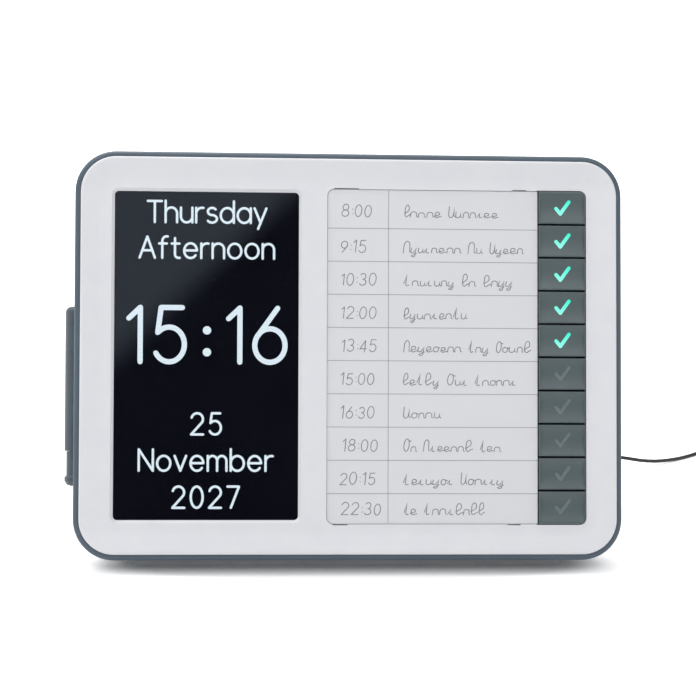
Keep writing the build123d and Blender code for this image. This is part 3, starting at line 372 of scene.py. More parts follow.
@dataclass(frozen=True)
class LightGuide(Finish):
    """Clear acrylic light guide, lit from behind: palest at the tick's foot, over the lamp."""

    stance: Stance | None = None
    tip: str = "#2ce8c8"
    body: str = "#1c7f70"
    strength: float = 1.0
    middle_mm: float = 0.0
    pitch_mm: float = 15.93
    reach_mm: float = 3.5

    def pattern(self, add: Adder, place: Socket) -> dict[str, object]:
        """Adds a glow that changes up each tick, the same on every key."""
        turn = Matrix.Rotation(self.stance.lean, 3, "X")
        on_case = add("ShaderNodeMapping", {
            "Vector": place, "Rotation": (self.stance.lean, 0.0, 0.0),
            "Location": -(turn @ self.stance.origin),
        })
        step = add("ShaderNodeSeparateXYZ", {"Vector": on_case}).outputs["Z"]
        for operation, number in (("SUBTRACT", self.middle_mm * MM),
                                  ("DIVIDE", self.pitch_mm * MM), ("ADD", 0.5), ("FRACT", 0.0)):
            step = add("ShaderNodeMath", {0: step, 1: number}, operation=operation)
        reach = self.reach_mm / self.pitch_mm
        height = add("ShaderNodeMapRange", {
            "Value": step, "From Min": 0.5 - reach, "From Max": 0.5 + reach,
        })
        glow = add("ShaderNodeValToRGB", {"Fac": height},
                   stops=((0.0, self.colour), (1.0, self.tip)))
        return {"Base Color": linear(self.body), "Emission Color": glow,
                "Emission Strength": self.strength}


@dataclass(frozen=True)
class Laminate(Finish):
    """Glass-fibre laminate under solder mask: copper tracks show as slightly paler green."""

    track: str = "#1f6b3a"
    track_mm: float = 2.5
    track_width: float = 0.04

    def pattern(self, add: Adder, place: Socket) -> dict[str, object]:
        """Adds tracks below the mask."""
        cells = add("ShaderNodeTexBrick", {
            "Vector": place, "Scale": per_metre(self.track_mm) * BRICK_ROW,
            "Color1": linear(self.colour), "Color2": linear(self.colour),
            "Mortar": linear(self.track), "Mortar Size": self.track_width,
        })
        return {"Base Color": cells}


# Coloured plastics look even and satin. The extruded lead is a little wavy, and the speaker's
# cloth has a faint sheen and no highlight.
BLACK_ABS = Moulded("black_abs", "#16171a", 0.5, drift="#121315")
LEG_ABS = Moulded("slate_abs_leg", "#46535f", 0.44, drift="#414e59")
KEY_ABS = Moulded("grey_abs_satin", "#505d60", 0.38, drift="#4c585b", grain_mm=0.5,
                  grain_depth_mm=0.006)
PLUG_PVC = Moulded("plug_pvc", "#17181a", 0.5, drift="#131416")
LEAD_PVC = Moulded("extruded_pvc", "#1b1c1f", 0.45, drift="#17181a", grain_mm=1.2,
                   grain_depth_mm=0.01)
TIE_PVC = Moulded("tie_strip_pvc", "#26282b", 0.5, drift="#202225")
CLOTH = Moulded("black_speaker_cloth", "#1a1b1d", 0.85, drift="#141517", sheen=0.3)

# Prints and marks: dry ink is dull, and a wipe-clean marker leaves it thin in places.
PAD_PRINT = Moulded("pale_pad_print", "#b8bec4", 0.5, drift="#aeb4ba")
PRINT_INK = Moulded("grey_printing_ink", "#8d8f94", 0.5, drift="#94969a")
MARKER_INK = Moulded("dry_marker_ink", "#6f7178", 0.6, drift="#919398", drift_mm=3.0)
OPEN_PIXELS = LitFigure("open_pixels", "#e3f3fd", 0.5)

# The light guides that aren't lit: a frosted face, greyer than the cap around it.
FROSTED = Moulded("frosted_acrylic", "#6a7779", 0.3, drift="#626f72", drift_mm=3.0)

WORN: tuple[tuple[Finish, str], ...] = (
    # The case and its feet: matt slate from a textured tool, white with wide soft highlights from
    # a polished one, dull rubber, and a cloudy grey shine on the plated steel.
    (Moulded("slate_abs_textured", "#475562", 0.46, drift="#43515d"), "rear_shell pen_holder"),
    (Moulded("white_abs_satin", "#dcdde1", 0.34, drift="#d8d9de", grain_mm=0.5,
             grain_depth_mm=0.004), "front_bezel"),
    (Moulded("grey_rubber_moulded", "#b6b8bb", 0.72, drift="#adb0b3"), "front_foot"),
    (Plated("zinc_plated_steel", "#a9abae", 0.34),
     "case_screws inner_screws hanger_plates leg_pin"),
    (LEG_ABS, "stand_leg"),
    (Moulded("foot_rubber_moulded", "#23262a", 0.72, drift="#1d2023"), "leg_foot"),
    # The display: sharp clear glass, near-black film, foam that takes all light, soft aluminium.
    (CoverGlass("float_glass", "#ffffff", 0.02), "display_glass"),
    (PanelFace("polarizer_film", "#030305", 0.5), "lcd_panel"),
    (Moulded("black_foam", "#151515", 0.9, drift="#101010", grain_mm=0.9, grain_depth_mm=0.08),
     "display_gasket"),
    (Plated("stamped_aluminium", "#bfc0c2", 0.42), "backlight_tray display_clips"),
    # The board and its pen: a glossy sheet under a wipe-clean coat, satin plastic, matted felt.
    (Moulded("gloss_white_laminate", "#dadbdf", 0.22, drift="#d8d9dd", drift_mm=30.0,
             grain_mm=2.0, grain_depth_mm=0.002, coat=0.3, coat_roughness=0.08), "task_board"),
    (Moulded("slate_pp_satin", "#434f59", 0.4, drift="#3f4a54"), "pen_barrel pen_cap"),
    (Moulded("pressed_felt", "#101012", 0.95, drift="#1a1a1d", drift_mm=0.6, grain_mm=0.4,
             grain_depth_mm=0.05, sheen=0.4), "pen_nib"),
    # The setting keys and what is inside: satin caps, dull black plastic, boards with paler
    # tracks, matt chips, milky lamps, smooth cable film, lacquered and polished steel.
    (Moulded("dark_slate_abs", "#3b4650", 0.4, drift="#36414a"),
     "setting_key_1 setting_key_2 setting_key_3"),
    (BLACK_ABS, "key_frame cell_holder tact_switches dc_socket"),
    (Laminate("solder_mask_green", "#124a26", 0.35), "key_board main_board"),
    (Moulded("chip_epoxy", "#121214", 0.55, drift="#0e0e10"), "board_chips"),
    (Moulded("lamp_epoxy", "#ebebd8", 0.2, drift="#e2e2cc"), "key_leds"),
    (Moulded("cable_film", "#c7c2b2", 0.4, drift="#bcb7a6"), "display_ribbon key_ribbon"),
    (Moulded("black_lacquered_steel", "#101012", 0.4, drift="#0c0c0e"), "speaker"),
    (Plated("polished_steel", "#c8c8ca", 0.2), "coin_cell"),
    # The plugs: smooth black PVC and a bright nickel shell.
    (PLUG_PVC, "power_plug supply_plug"),
    (Plated("nickel_plated_steel", "#cfcfd2", 0.22), "supply_shell"),
)


def dress(finish: Finish, nodes: str) -> None:
    """Gives CAD nodes their finish.

    Args:
        finish: The finish.
        nodes: The nodes' names, with spaces between them.
    """
    for name in nodes.split():
        slots = frame["nodes"][name].data.materials
        slots.clear()
        slots.append(finish.material())
        LOG.info("%s: %s", name, finish.name)


# ------------------------------------------------------------------ repeated shapes
@dataclass(frozen=True)
class Seat:
    """Where a drawn piece goes.

    place takes the drawing's millimetres to the row frame, body is the CAD body that the piece
    rides on, and slot, the record's material slot, is not used.
    """

    place: Matrix
    body: str
    slot: str


def link(made: Object) -> Object:
    """Puts an object in the scene."""
    bpy.context.scene.collection.objects.link(made)
    return made


def set_down(name: str, mesh: Mesh, seat: Seat) -> Object:
    """Puts a drawn mesh in the scene as a finished piece.

    Args:
        name: The piece's name.
        mesh: Its mesh, in the seat's millimetres.
        seat: Where it goes.

    Returns:
        The piece.
    """
    mesh.name = name
    mesh.transform(seat.place)
    piece = link(bpy.data.objects.new(name, mesh))
    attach(piece, seat.body)
    LOG.info("%s: %d faces on %s", name, len(mesh.polygons), seat.body)
    return piece


class Tree:
    """A Geometry Nodes tree with named inputs that ends in one realised, dressed mesh."""

    def __init__(self, name: str, **inputs: str) -> None:
        """Starts the tree with its geometry input, its sizes and its finish.

        Args:
            name: The tree's name.
            inputs: Each input's type, in order.
        """
        self.group = bpy.data.node_groups.new(name, "GeometryNodeTree")
        face = self.group.interface
        kinds = {"Geometry": "Geometry", **inputs, "Finish": "Material"}
        for label, kind in kinds.items():
            face.new_socket(label.replace("_", " "), in_out="INPUT",
                            socket_type="NodeSocket" + kind)
        face.new_socket("Geometry", in_out="OUTPUT", socket_type="NodeSocketGeometry")
        self.given = self.add("NodeGroupInput").outputs

    def add(self, kind: str, inputs: dict | None = None, **settings: object) -> Node:
        """Adds one node to this tree."""
        return add_node(self.group, kind, inputs, **settings)

    def row(self, step: Socket | Node) -> Node:
        """Repeats the starting point along a line.

        Args:
            step: The way from one point to the next.

        Returns:
            The node that gives all the points.
        """
        line = self.add("GeometryNodeMeshLine", {
            "Count": self.given["Count"], "Offset": step,
        }, mode="OFFSET")
        lines = self.add("GeometryNodeInstanceOnPoints", {
            "Points": self.given["Geometry"], "Instance": line,
        })
        return self.add("GeometryNodeRealizeInstances", {"Geometry": lines})

    def close(self, shape: Node, smooth: bool) -> None:
        """Realises the instances, sets the finish and ends the tree.

        Args:
            shape: The node that gives the finished shape.
            smooth: Whether its faces are shaded as one surface.
        """
        real = self.add("GeometryNodeRealizeInstances", {"Geometry": shape})
        shaded = self.add("GeometryNodeSetShadeSmooth", {"Geometry": real, "Shade Smooth": smooth})
        dressed = self.add("GeometryNodeSetMaterial", {
            "Geometry": shaded, "Material": self.given["Finish"],
        })
        self.add("NodeGroupOutput", {"Geometry": dressed})

    def bake(self, name: str, mesh: Mesh, values: dict[str, object], finish: Finish,
             seat: Seat) -> None:
        """Runs the tree on a mesh and leaves a plain mesh piece in its place.

        Args:
            name: The piece's name.
            mesh: What the tree starts from, in the seat's millimetres.
            values: The tree's named sizes.
            finish: The piece's finish.
            seat: Where it goes.
        """
        source = link(bpy.data.objects.new(name + ".source", mesh))
        modifier = source.modifiers.new(self.group.name, "NODES")
        modifier.node_group = self.group
        wanted = dict(values, Finish=finish.material())
        for socket in self.group.interface.items_tree:
            if socket.in_out == "INPUT" and socket.name in wanted:
                modifier[socket.identifier] = wanted[socket.name]
        graph = bpy.context.evaluated_depsgraph_get()
        made = bpy.data.meshes.new_from_object(source.evaluated_get(graph), depsgraph=graph)
        bpy.data.objects.remove(source)
        set_down(name, made, seat)


class StrokeTree(Tree):
    """Round-ended strokes of one width along drawn lines, pressed nearly flat."""

    BALL_RINGS = 4

    def __init__(self) -> None:
        """Builds a tube along each line with a ball at its ends, and presses them flat."""
        super().__init__("round_strokes", Width="Float", Flatness="Float", Sides="Int")
        given = self.given
        line = self.add("GeometryNodeMeshToCurve", {"Mesh": given["Geometry"]})
        half = self.add("ShaderNodeMath", {0: given["Width"], 1: 0.5}, operation="MULTIPLY")
        ring = self.add("GeometryNodeCurvePrimitiveCircle", {
            "Resolution": given["Sides"], "Radius": half,
        })
        tube = self.add("GeometryNodeCurveToMesh", {
            "Curve": line, "Profile Curve": ring, "Fill Caps": True,
        })
        ends = self.add("GeometryNodeCurveEndpointSelection", {"Start Size": 1, "End Size": 1})
        ball = self.add("GeometryNodeMeshUVSphere", {
            "Segments": given["Sides"], "Rings": self.BALL_RINGS, "Radius": half,
        })
        balls = self.add("GeometryNodeInstanceOnPoints", {
            "Points": line, "Selection": ends, "Instance": ball,
        })
        both = self.add("GeometryNodeJoinGeometry", {"Geometry": tube})
        fill(both, {"Geometry": balls})
        press = self.add("ShaderNodeCombineXYZ", {"X": 1.0, "Y": 1.0, "Z": given["Flatness"]})
        flat = self.add("GeometryNodeTransform", {"Geometry": both, "Scale": press})
        self.close(flat, smooth=True)

    def draw(self, name: str, strokes: list[Stroke], width: float, relief: float, sides: int,
             finish: Finish, seat: Seat) -> None:
        """Draws strokes as one piece.

        Args:
            name: The piece's name.
            strokes: Lists of points; one whose last point is its first is a closed ring.
            width: How wide a stroke is.
            relief: How far it stands out of the drawing plane.
            sides: How many sides its section has.
            finish: The piece's finish.
            seat: Where it goes.
        """
        mesh = bpy.data.meshes.new("strokes")
        places, edges = [], []
        for stroke in strokes:
            closed = len(stroke) > 3 and math.dist(stroke[0], stroke[-1]) < 1e-6
            points = stroke[:-1] if closed else stroke
            first = len(places)
            places += [(x, y, 0.0) for x, y in points]
            edges += [(first + i, first + i + 1) for i in range(len(points) - 1)]
            if closed:
                edges.append((len(places) - 1, first))
        mesh.from_pydata(places, edges, [])
        values = {"Width": width, "Flatness": 2 * relief / width, "Sides": sides}
        self.bake(name, mesh, values, finish, seat)


class RowTree(Tree):
    """A row of equal bars, one pitch apart."""

    def __init__(self) -> None:
        """Builds one bar and repeats it along a step."""
        super().__init__("row_of_bars", Count="Int", Step="Vector", Bar="Vector")
        bar = self.add("GeometryNodeMeshCube", {"Size": self.given["Bar"]})
        bars = self.add("GeometryNodeInstanceOnPoints", {
            "Points": self.row(self.given["Step"]), "Instance": bar,
        })
        self.close(bars, smooth=False)


class RingTree(Tree):
    """Round wires about one axis, one pitch apart, each a little smaller than the last."""

    RING_SIDES = 40
    WIRE_SIDES = 10

    def __init__(self) -> None:
        """Places a unit ring at each step, sizes it and gives it a round section."""
        super().__init__("tapering_rings", Count="Int", Pitch="Float", First_Radius="Float",
                         Last_Radius="Float", Wire="Float")
        given = self.given
        points = self.row(self.add("ShaderNodeCombineXYZ", {"Z": given["Pitch"]}))
        last = self.add("ShaderNodeMath", {0: given["Count"], 1: 1.0}, operation="SUBTRACT")
        size = self.add("ShaderNodeMapRange", {
            "Value": self.add("GeometryNodeInputIndex"), "From Max": last,
            "To Min": given["First Radius"], "To Max": given["Last Radius"],
        })
        ring = self.add("GeometryNodeCurvePrimitiveCircle", {
            "Resolution": self.RING_SIDES, "Radius": 1.0,
        })
        rings = self.add("GeometryNodeInstanceOnPoints", {
            "Points": points, "Instance": ring, "Scale": size,
        })
        loops = self.add("GeometryNodeRealizeInstances", {"Geometry": rings})
        half = self.add("ShaderNodeMath", {0: given["Wire"], 1: 0.5}, operation="MULTIPLY")
        section = self.add("GeometryNodeCurvePrimitiveCircle", {
            "Resolution": self.WIRE_SIDES, "Radius": half,
        })
        wire = self.add("GeometryNodeCurveToMesh", {"Curve": loops, "Profile Curve": section})
        self.close(wire, smooth=True)


def single_point(x: float = 0.0, y: float = 0.0) -> Mesh:
    """A mesh of one point, where a row starts."""
    mesh = bpy.data.meshes.new("start")
    mesh.from_pydata([(x, y, 0.0)], [], [])
    return mesh


# ------------------------------------------------------------------ lettering
class Letters:
    """A light geometric letter of one stroke width, for the screen and, slanted, for the hand.

    A letter is a width and its strokes, in shares of the height of a capital. A stroke is a
    list of points (x, y) and arcs (centre x, centre y, radius x, radius y, from, to) in degrees.
    """

    BOWL = (0.31, 0.35, 0.31, 0.35, 90, 450)
    ARCH = [(0.27, 0.42, 0.27, 0.28, 180, 0), (0.54, 0)]
    STEM = [(0, 0.70), (0, 0)]
    BAR = [(0, 0.68), (0.36, 0.68)]
    SHAPES: dict[str, tuple[float, list[list[tuple]]]] = {
        "0": (0.56, [[(0.28, 0.5, 0.28, 0.5, 90, 450)]]),
        "1": (0.22, [[(0, 0.80), (0.21, 1)], [(0.21, 1), (0.21, 0)]]),
        "2": (0.56, [[(0.28, 0.72, 0.27, 0.28, 165, -32), (0, 0)], [(0, 0), (0.56, 0)]]),
        "3": (0.54, [[(0.26, 0.75, 0.23, 0.25, 150, -90)],
                     [(0.26, 0.25, 0.27, 0.25, 90, -155)]]),
        "4": (0.56, [[(0.42, 0), (0.42, 1)], [(0.42, 1), (0, 0.28)], [(0, 0.28), (0.56, 0.28)]]),
        "5": (0.54, [[(0.50, 1), (0.11, 1)], [(0.11, 1), (0.05, 0.54)],
                     [(0.05, 0.54), (0.26, 0.32, 0.28, 0.32, 128, -150)]]),
        "6": (0.56, [[(0.28, 0.31, 0.28, 0.31, 90, 450)], [(0.42, 1), (0.035, 0.46)]]),
        "7": (0.54, [[(0, 1), (0.54, 1)], [(0.54, 1), (0.16, 0)]]),
        "8": (0.56, [[(0.28, 0.76, 0.23, 0.24, 90, 450)], [(0.28, 0.26, 0.28, 0.26, 90, 450)]]),
        "9": (0.56, [[(0.28, 0.69, 0.28, 0.31, 90, 450)], [(0.525, 0.54), (0.14, 0)]]),
        "A": (0.72, [[(0, 0), (0.36, 1)], [(0.36, 1), (0.72, 0)], [(0.13, 0.35), (0.59, 0.35)]]),
        "N": (0.66, [[(0, 0), (0, 1)], [(0, 1), (0.66, 0)], [(0.66, 0), (0.66, 1)]]),
        "T": (0.66, [[(0, 1), (0.66, 1)], [(0.33, 1), (0.33, 0)]]),
        "a": (0.62, [[BOWL], [(0.62, 0.70), (0.62, 0)]]),
        "b": (0.62, [[BOWL], [(0, 1.02), (0, 0)]]),
        "d": (0.62, [[BOWL], [(0.62, 1.02), (0.62, 0)]]),
        "e": (0.62, [[(0.01, 0.36), (0.61, 0.36)], [(0.31, 0.35, 0.30, 0.35, 2, 322)]]),
        "f": (0.40, [[(0.15, 0), (0.36, 0.80, 0.21, 0.22, 180, 78)], BAR]),
        "h": (0.54, [[(0, 1.02), (0, 0)], ARCH]),
        "m": (0.88, [STEM, [(0.22, 0.46, 0.22, 0.24, 180, 0), (0.44, 0)],
                     [(0.66, 0.46, 0.22, 0.24, 180, 0), (0.88, 0)]]),
        "n": (0.54, [STEM, ARCH]),
        "o": (0.62, [[BOWL]]),
        "r": (0.34, [STEM, [(0.27, 0.42, 0.27, 0.28, 180, 75)]]),
        "s": (0.46, [[(0.23, 0.53, 0.20, 0.17, 35, 270), (0.23, 0.18, 0.23, 0.18, 90, -148)]]),
        "t": (0.38, [[(0.15, 0.94), (0.33, 0.18, 0.18, 0.18, 180, 285)], BAR]),
        "u": (0.54, [[(0, 0.70), (0.27, 0.28, 0.27, 0.28, 180, 360)], [(0.54, 0.70), (0.54, 0)]]),
        "v": (0.54, [[(0, 0.70), (0.27, 0)], [(0.27, 0), (0.54, 0.70)]]),
        "y": (0.56, [[(0, 0.70), (0.29, 0)], [(0.56, 0.70), (0.17, -0.28)]]),
    }
    ARC_STEP = 11.0

    @classmethod
    def trace(cls, shape: list[tuple]) -> Stroke:
        """Turns one stroke's points and arcs into points.

        Args:
            shape: Points and arcs, in order.

        Returns:
            The stroke's points.
        """
        points: Stroke = []
        for item in shape:
            if len(item) == 2:
                points.append((float(item[0]), float(item[1])))
                continue
            cx, cy, rx, ry, start, end = item
            steps = max(4, round(abs(end - start) / cls.ARC_STEP))
            for i in range(steps + 1):
                angle = math.radians(start + (end - start) * i / steps)
                points.append((cx + rx * math.cos(angle), cy + ry * math.sin(angle)))
        if len(shape) == 1 and len(shape[0]) == 6 and abs(shape[0][5] - shape[0][4]) >= 360:
            points[-1] = points[0]
        return points

    @classmethod
    def letter(cls, sign: str, x: float, y: float, height: float,
               slant: float = 0.0) -> list[Stroke]:
        """The strokes of one letter.

        Args:
            sign: The letter or figure.
            x: Its left edge.
            y: Its foot.
            height: The height of a capital.
            slant: How far the top leans to the right, as a share of the height.

        Returns:
            Its strokes in the drawing plane.
        """
        strokes = [cls.trace(shape) for shape in cls.SHAPES[sign][1]]
        return [[(x + height * (a + slant * b), y + height * b) for a, b in stroke]
                for stroke in strokes]

    @classmethod
    def line(cls, text: str, middle: float, foot: float, height: float,
             width: float) -> list[Stroke]:
        """A centred line of text, with its letters spaced to fill a width.

        Args:
            text: The words.
            middle: Where the line's middle is across.
            foot: Where the letters stand.
            height: The height of a capital's middle line.
            width: The whole line's width.

        Returns:
            Its strokes in the drawing plane.
        """
        widths = [cls.SHAPES[sign][0] * height for sign in text]
        gap = (width - sum(widths)) / max(1, len(text) - 1)
        x = middle - width / 2
        strokes: list[Stroke] = []
        for sign, own in zip(text, widths):
            strokes += cls.letter(sign, x, foot, height)
            x += own + gap
        return strokes


class Form(Enum):
    """Made-up letter forms, each drawn from its own left foot, as a stroke of Letters."""

    ARCH = [(0, 0), (0, 0.6), (0.42, 0.62, 0.42, 0.38, 180, 0), (0.9, 0.1), (1.1, 0.05)]
    CUP = [(0, 1), (0.03, 0.4), (0.4, 0.34, 0.38, 0.34, 180, 350), (0.82, 0.95), (0.85, 0.2),
           (1.1, 0.04)]
    LOOP = [(0, 0.25), (0.4, 0.68, 0.34, 0.32, -30, 170), (0.42, 0.36, 0.36, 0.36, 185, 320),
            (1.05, 0.2)]
    RING = [(0.45, 0.5, 0.42, 0.5, 70, 428), (0.75, 0.9), (1.1, 0.8)]
    STEM = [(0, 0.2), (0.35, 1.0), (0.3, 0.5), (0.55, 0.14, 0.24, 0.14, 180, 330)]
    TAIL = [(0, 0.9), (0.2, 0.3, 0.3, 0.3, 180, 340), (0.8, 0.95), (0.72, 0.0),
            (0.4, -0.45, 0.3, 0.25, 20, -170), (0.9, -0.05)]


@dataclass
class Scribble:
    """Meaningless pen marks with the rhythm of small joined handwriting."""

    dice: random.Random
    body: float = 2.6
    tall: float = 5.9
    lean: float = 0.12
    tall_share: float = 0.28
    widths: tuple[float, float] = (1.0, 1.28)
    heights: tuple[float, float] = (0.85, 1.05)
    tall_heights: tuple[float, float] = (0.88, 1.0)
    drops: tuple[float, float] = (-0.12, 0.12)
    advances: tuple[float, float] = (1.12, 1.3)
    forms: tuple[Form, ...] = (Form.ARCH, Form.CUP, Form.LOOP, Form.LOOP, Form.RING, Form.STEM,
                               Form.ARCH, Form.TAIL)

    def word(self, x: float, y: float, count: int) -> tuple[list[Stroke], float]:
        """A word of made-up forms.

        Args:
            x: Where it starts.
            y: Its foot.
            count: How many forms it has.

        Returns:
            Its strokes and where it ends.
        """
        strokes: list[Stroke] = []
        for index in range(count):
            form = self.dice.choice(self.forms)
            wide = self.body * self.dice.uniform(*self.widths)
            tall = self.body * self.dice.uniform(*self.heights)
            may_rise = form in (Form.STEM, Form.LOOP)
            if may_rise and self.dice.random() < self.tall_share or index == 0:
                tall = self.tall * self.dice.uniform(*self.tall_heights)
                form = Form.STEM if form is Form.TAIL else form
            drop = y + self.dice.uniform(*self.drops)
            strokes.append([(x + a * wide + self.lean * (b * tall), drop + b * tall)
                            for a, b in Letters.trace(form.value)])
            x += wide * self.dice.uniform(*self.advances)
        return strokes, x


# ------------------------------------------------------------------ sub-assemblies
@dataclass
class Display:
    """The figures that the upright screen shows."""

    stance: Stance
    strokes: StrokeTree
    letter_height: float = 11.2
    letter_stroke: float = 1.15
    time_height: float = 28.3
    time_stroke: float = 2.5
    figure_relief: float = 0.05
    figure_sides: int = 10
    lines: tuple[tuple[str, float, float], ...] = (
        ("Thursday", 62.8, 57.5),
        ("Afternoon", 45.8, 65.0),
        ("25", -38.0, 15.2),
        ("November", -55.2, 64.5),
        ("2027", -72.7, 32.6),
    )
    time_foot: float = -4.3
    time_places: tuple[tuple[str, float], ...] = (
        ("1", -36.8), ("5", -24.4), ("1", 10.4), ("6", 22.9),
    )
    colon_place: float = 0.2
    colon_rise: tuple[float, float] = (5.9, 16.3)
    colon_size: float = 4.0
    colon_sides: int = 20
    dot_half: float = 0.01

    def build(self) -> None:
        """Draws the day, the part of day, the time and the date on the panel."""
        low, high = self.stance.local_box("display_glass")
        middle = (low.x + high.x) / 2
        face = self.stance.local_box("lcd_panel")[0].y
        seat = Seat(self.stance.plane(Side.FRONT, face), "case", "display_face")
        thin, thick = self.letter_stroke, self.time_stroke
        words: list[Stroke] = []
        for text, foot, width in self.lines:
            words += Letters.line(text, middle, foot + thin / 2, self.letter_height - thin,
                                  width - thin)
        time: list[Stroke] = []
        for sign, left in self.time_places:
            time += Letters.letter(sign, middle + left, self.time_foot + thick / 2,
                                   self.time_height - thick)
        x = middle + self.colon_place
        dots = [[(x + side * self.dot_half, self.time_foot + rise) for side in (-1, 1)]
                for rise in self.colon_rise]
        for name, strokes, width, sides in (
            ("screen_words", words, thin, self.figure_sides),
            ("screen_time", time, thick, self.figure_sides),
            ("screen_colon", dots, self.colon_size, self.colon_sides),
        ):
            self.strokes.draw(name, strokes, width, self.figure_relief, sides, OPEN_PIXELS, seat)


@dataclass
class TaskBoard:
    """The wipe-clean board's printed rules and the marks of a thin marker."""

    stance: Stance
    strokes: StrokeTree
    rows: RowTree
    first_rule: float = 61.1
    rule_pitch: float = 15.80
    rule_count: int = 9
    rule_width: float = 0.32
    rule_relief: float = 0.04
    rule_inset: float = 0.2
    column_rule: float = 18.15
    column_inset: float = 0.6
    ink_width: float = 0.45
    ink_relief: float = 0.04
    ink_sides: int = 6
    time_left: float = -4.9
    time_height: float = 5.6
    time_slant: float = 0.1
    time_gap: float = 0.26
    colon_place: float = 0.5
    colon_rise: tuple[float, float] = (0.25, 0.62)
    colon_dot: float = 0.1
    colon_room: float = 1.5
    task_left: float = 25.4
    word_gap: float = 3.0
    foot_below_middle: float = 3.6
    seed: int = 11
    time_starts: tuple[float, float] = (0.0, 1.2)
    time_feet: tuple[float, float] = (-0.2, 0.2)
    time_sizes: tuple[float, float] = (0.92, 1.05)
    task_starts: tuple[float, float] = (-0.4, 0.6)
    times: tuple[str, ...] = ("8:00", "9:15", "10:30", "12:00", "13:45", "15:00", "16:30", "18:00",
                              "20:15", "22:30")
    tasks: tuple[tuple[int, ...], ...] = ((5, 7), (8, 2, 5), (7, 2, 4), (9,), (8, 3, 5), (5, 3, 6),
                                          (5,), (2, 7, 3), (7, 6), (2, 8))

    def build(self) -> None:
        """Prints the rules, then writes the hours and, beside them, made-up words."""
        low, high = self.stance.local_box("task_board")
        seat = Seat(self.stance.plane(Side.FRONT, low.y), "task_board", "board_plastic")
        self.rows.bake("board_row_rules", single_point((low.x + high.x) / 2, self.first_rule), {
            "Count": self.rule_count, "Step": (0.0, -self.rule_pitch, 0.0),
            "Bar": (high.x - low.x - self.rule_inset, self.rule_width, self.rule_relief),
        }, PRINT_INK, seat)
        self.rows.bake("board_column_rule", single_point(self.column_rule), {
            "Count": 1, "Step": (0.0, 0.0, 0.0),
            "Bar": (self.rule_width, high.z - low.z - self.column_inset, self.rule_relief),
        }, PRINT_INK, seat)
        tops = [high.z] + [self.first_rule - i * self.rule_pitch for i in range(self.rule_count)]
        dice = random.Random(self.seed)
        pen = Scribble(dice)
        strokes: list[Stroke] = []
        for top, bottom, time, words in zip(tops, tops[1:] + [low.z], self.times, self.tasks):
            foot = (max(top, bottom + self.rule_pitch) + bottom) / 2 - self.foot_below_middle
            strokes += self.hour(time, foot, dice)
            x = self.task_left + dice.uniform(*self.task_starts)
            for count in words:
                made, x = pen.word(x, foot, count)
                strokes += made
                x += self.word_gap
        self.strokes.draw("board_marks", strokes, self.ink_width, self.ink_relief, self.ink_sides,
                          MARKER_INK, seat)

    def hour(self, time: str, foot: float, dice: random.Random) -> list[Stroke]:
        """Writes one hour by hand.

        Args:
            time: The hour and minutes.
            foot: Where the row's writing stands.
            dice: What makes the hand uneven.

        Returns:
            Its strokes.
        """
        strokes: list[Stroke] = []
        x = self.time_left + dice.uniform(*self.time_starts)
        for sign in time:
            stand = foot + dice.uniform(*self.time_feet)
            if sign == ":":
                for rise in self.colon_rise:
                    dot = (x + self.colon_place, stand + rise * self.time_height)
                    strokes.append([dot, (dot[0] + self.colon_dot, dot[1] + self.colon_dot)])
                x += self.colon_room
                continue
            size = self.time_height * dice.uniform(*self.time_sizes)
            strokes += Letters.letter(sign, x, stand, size, self.time_slant)
            x += (Letters.SHAPES[sign][0] + self.time_gap) * size
        return strokes


@dataclass
class TickKeys:
    """The column of ten keys with tick-shaped light guides."""

    stance: Stance
    count: int = 10
    lit_count: int = 5
    strength: float = 0.93

    def build(self) -> None:
        """Dresses the keys and their guides, with each glow centred on its key."""
        first = self.stance.local_box("tick_key_1")[0]
        low, high = self.stance.local_box("tick_key_2")
        lit = LightGuide("lit_acrylic", "#9effe6", 0.3, 1.49, stance=self.stance,
                         strength=self.strength, middle_mm=first.z + (high.z - low.z) / 2,
                         pitch_mm=first.z - low.z)
        for number in range(1, self.count + 1):
            dress(KEY_ABS, f"tick_key_{number}")
            dress(lit if number <= self.lit_count else FROSTED, f"tick_lens_{number}")


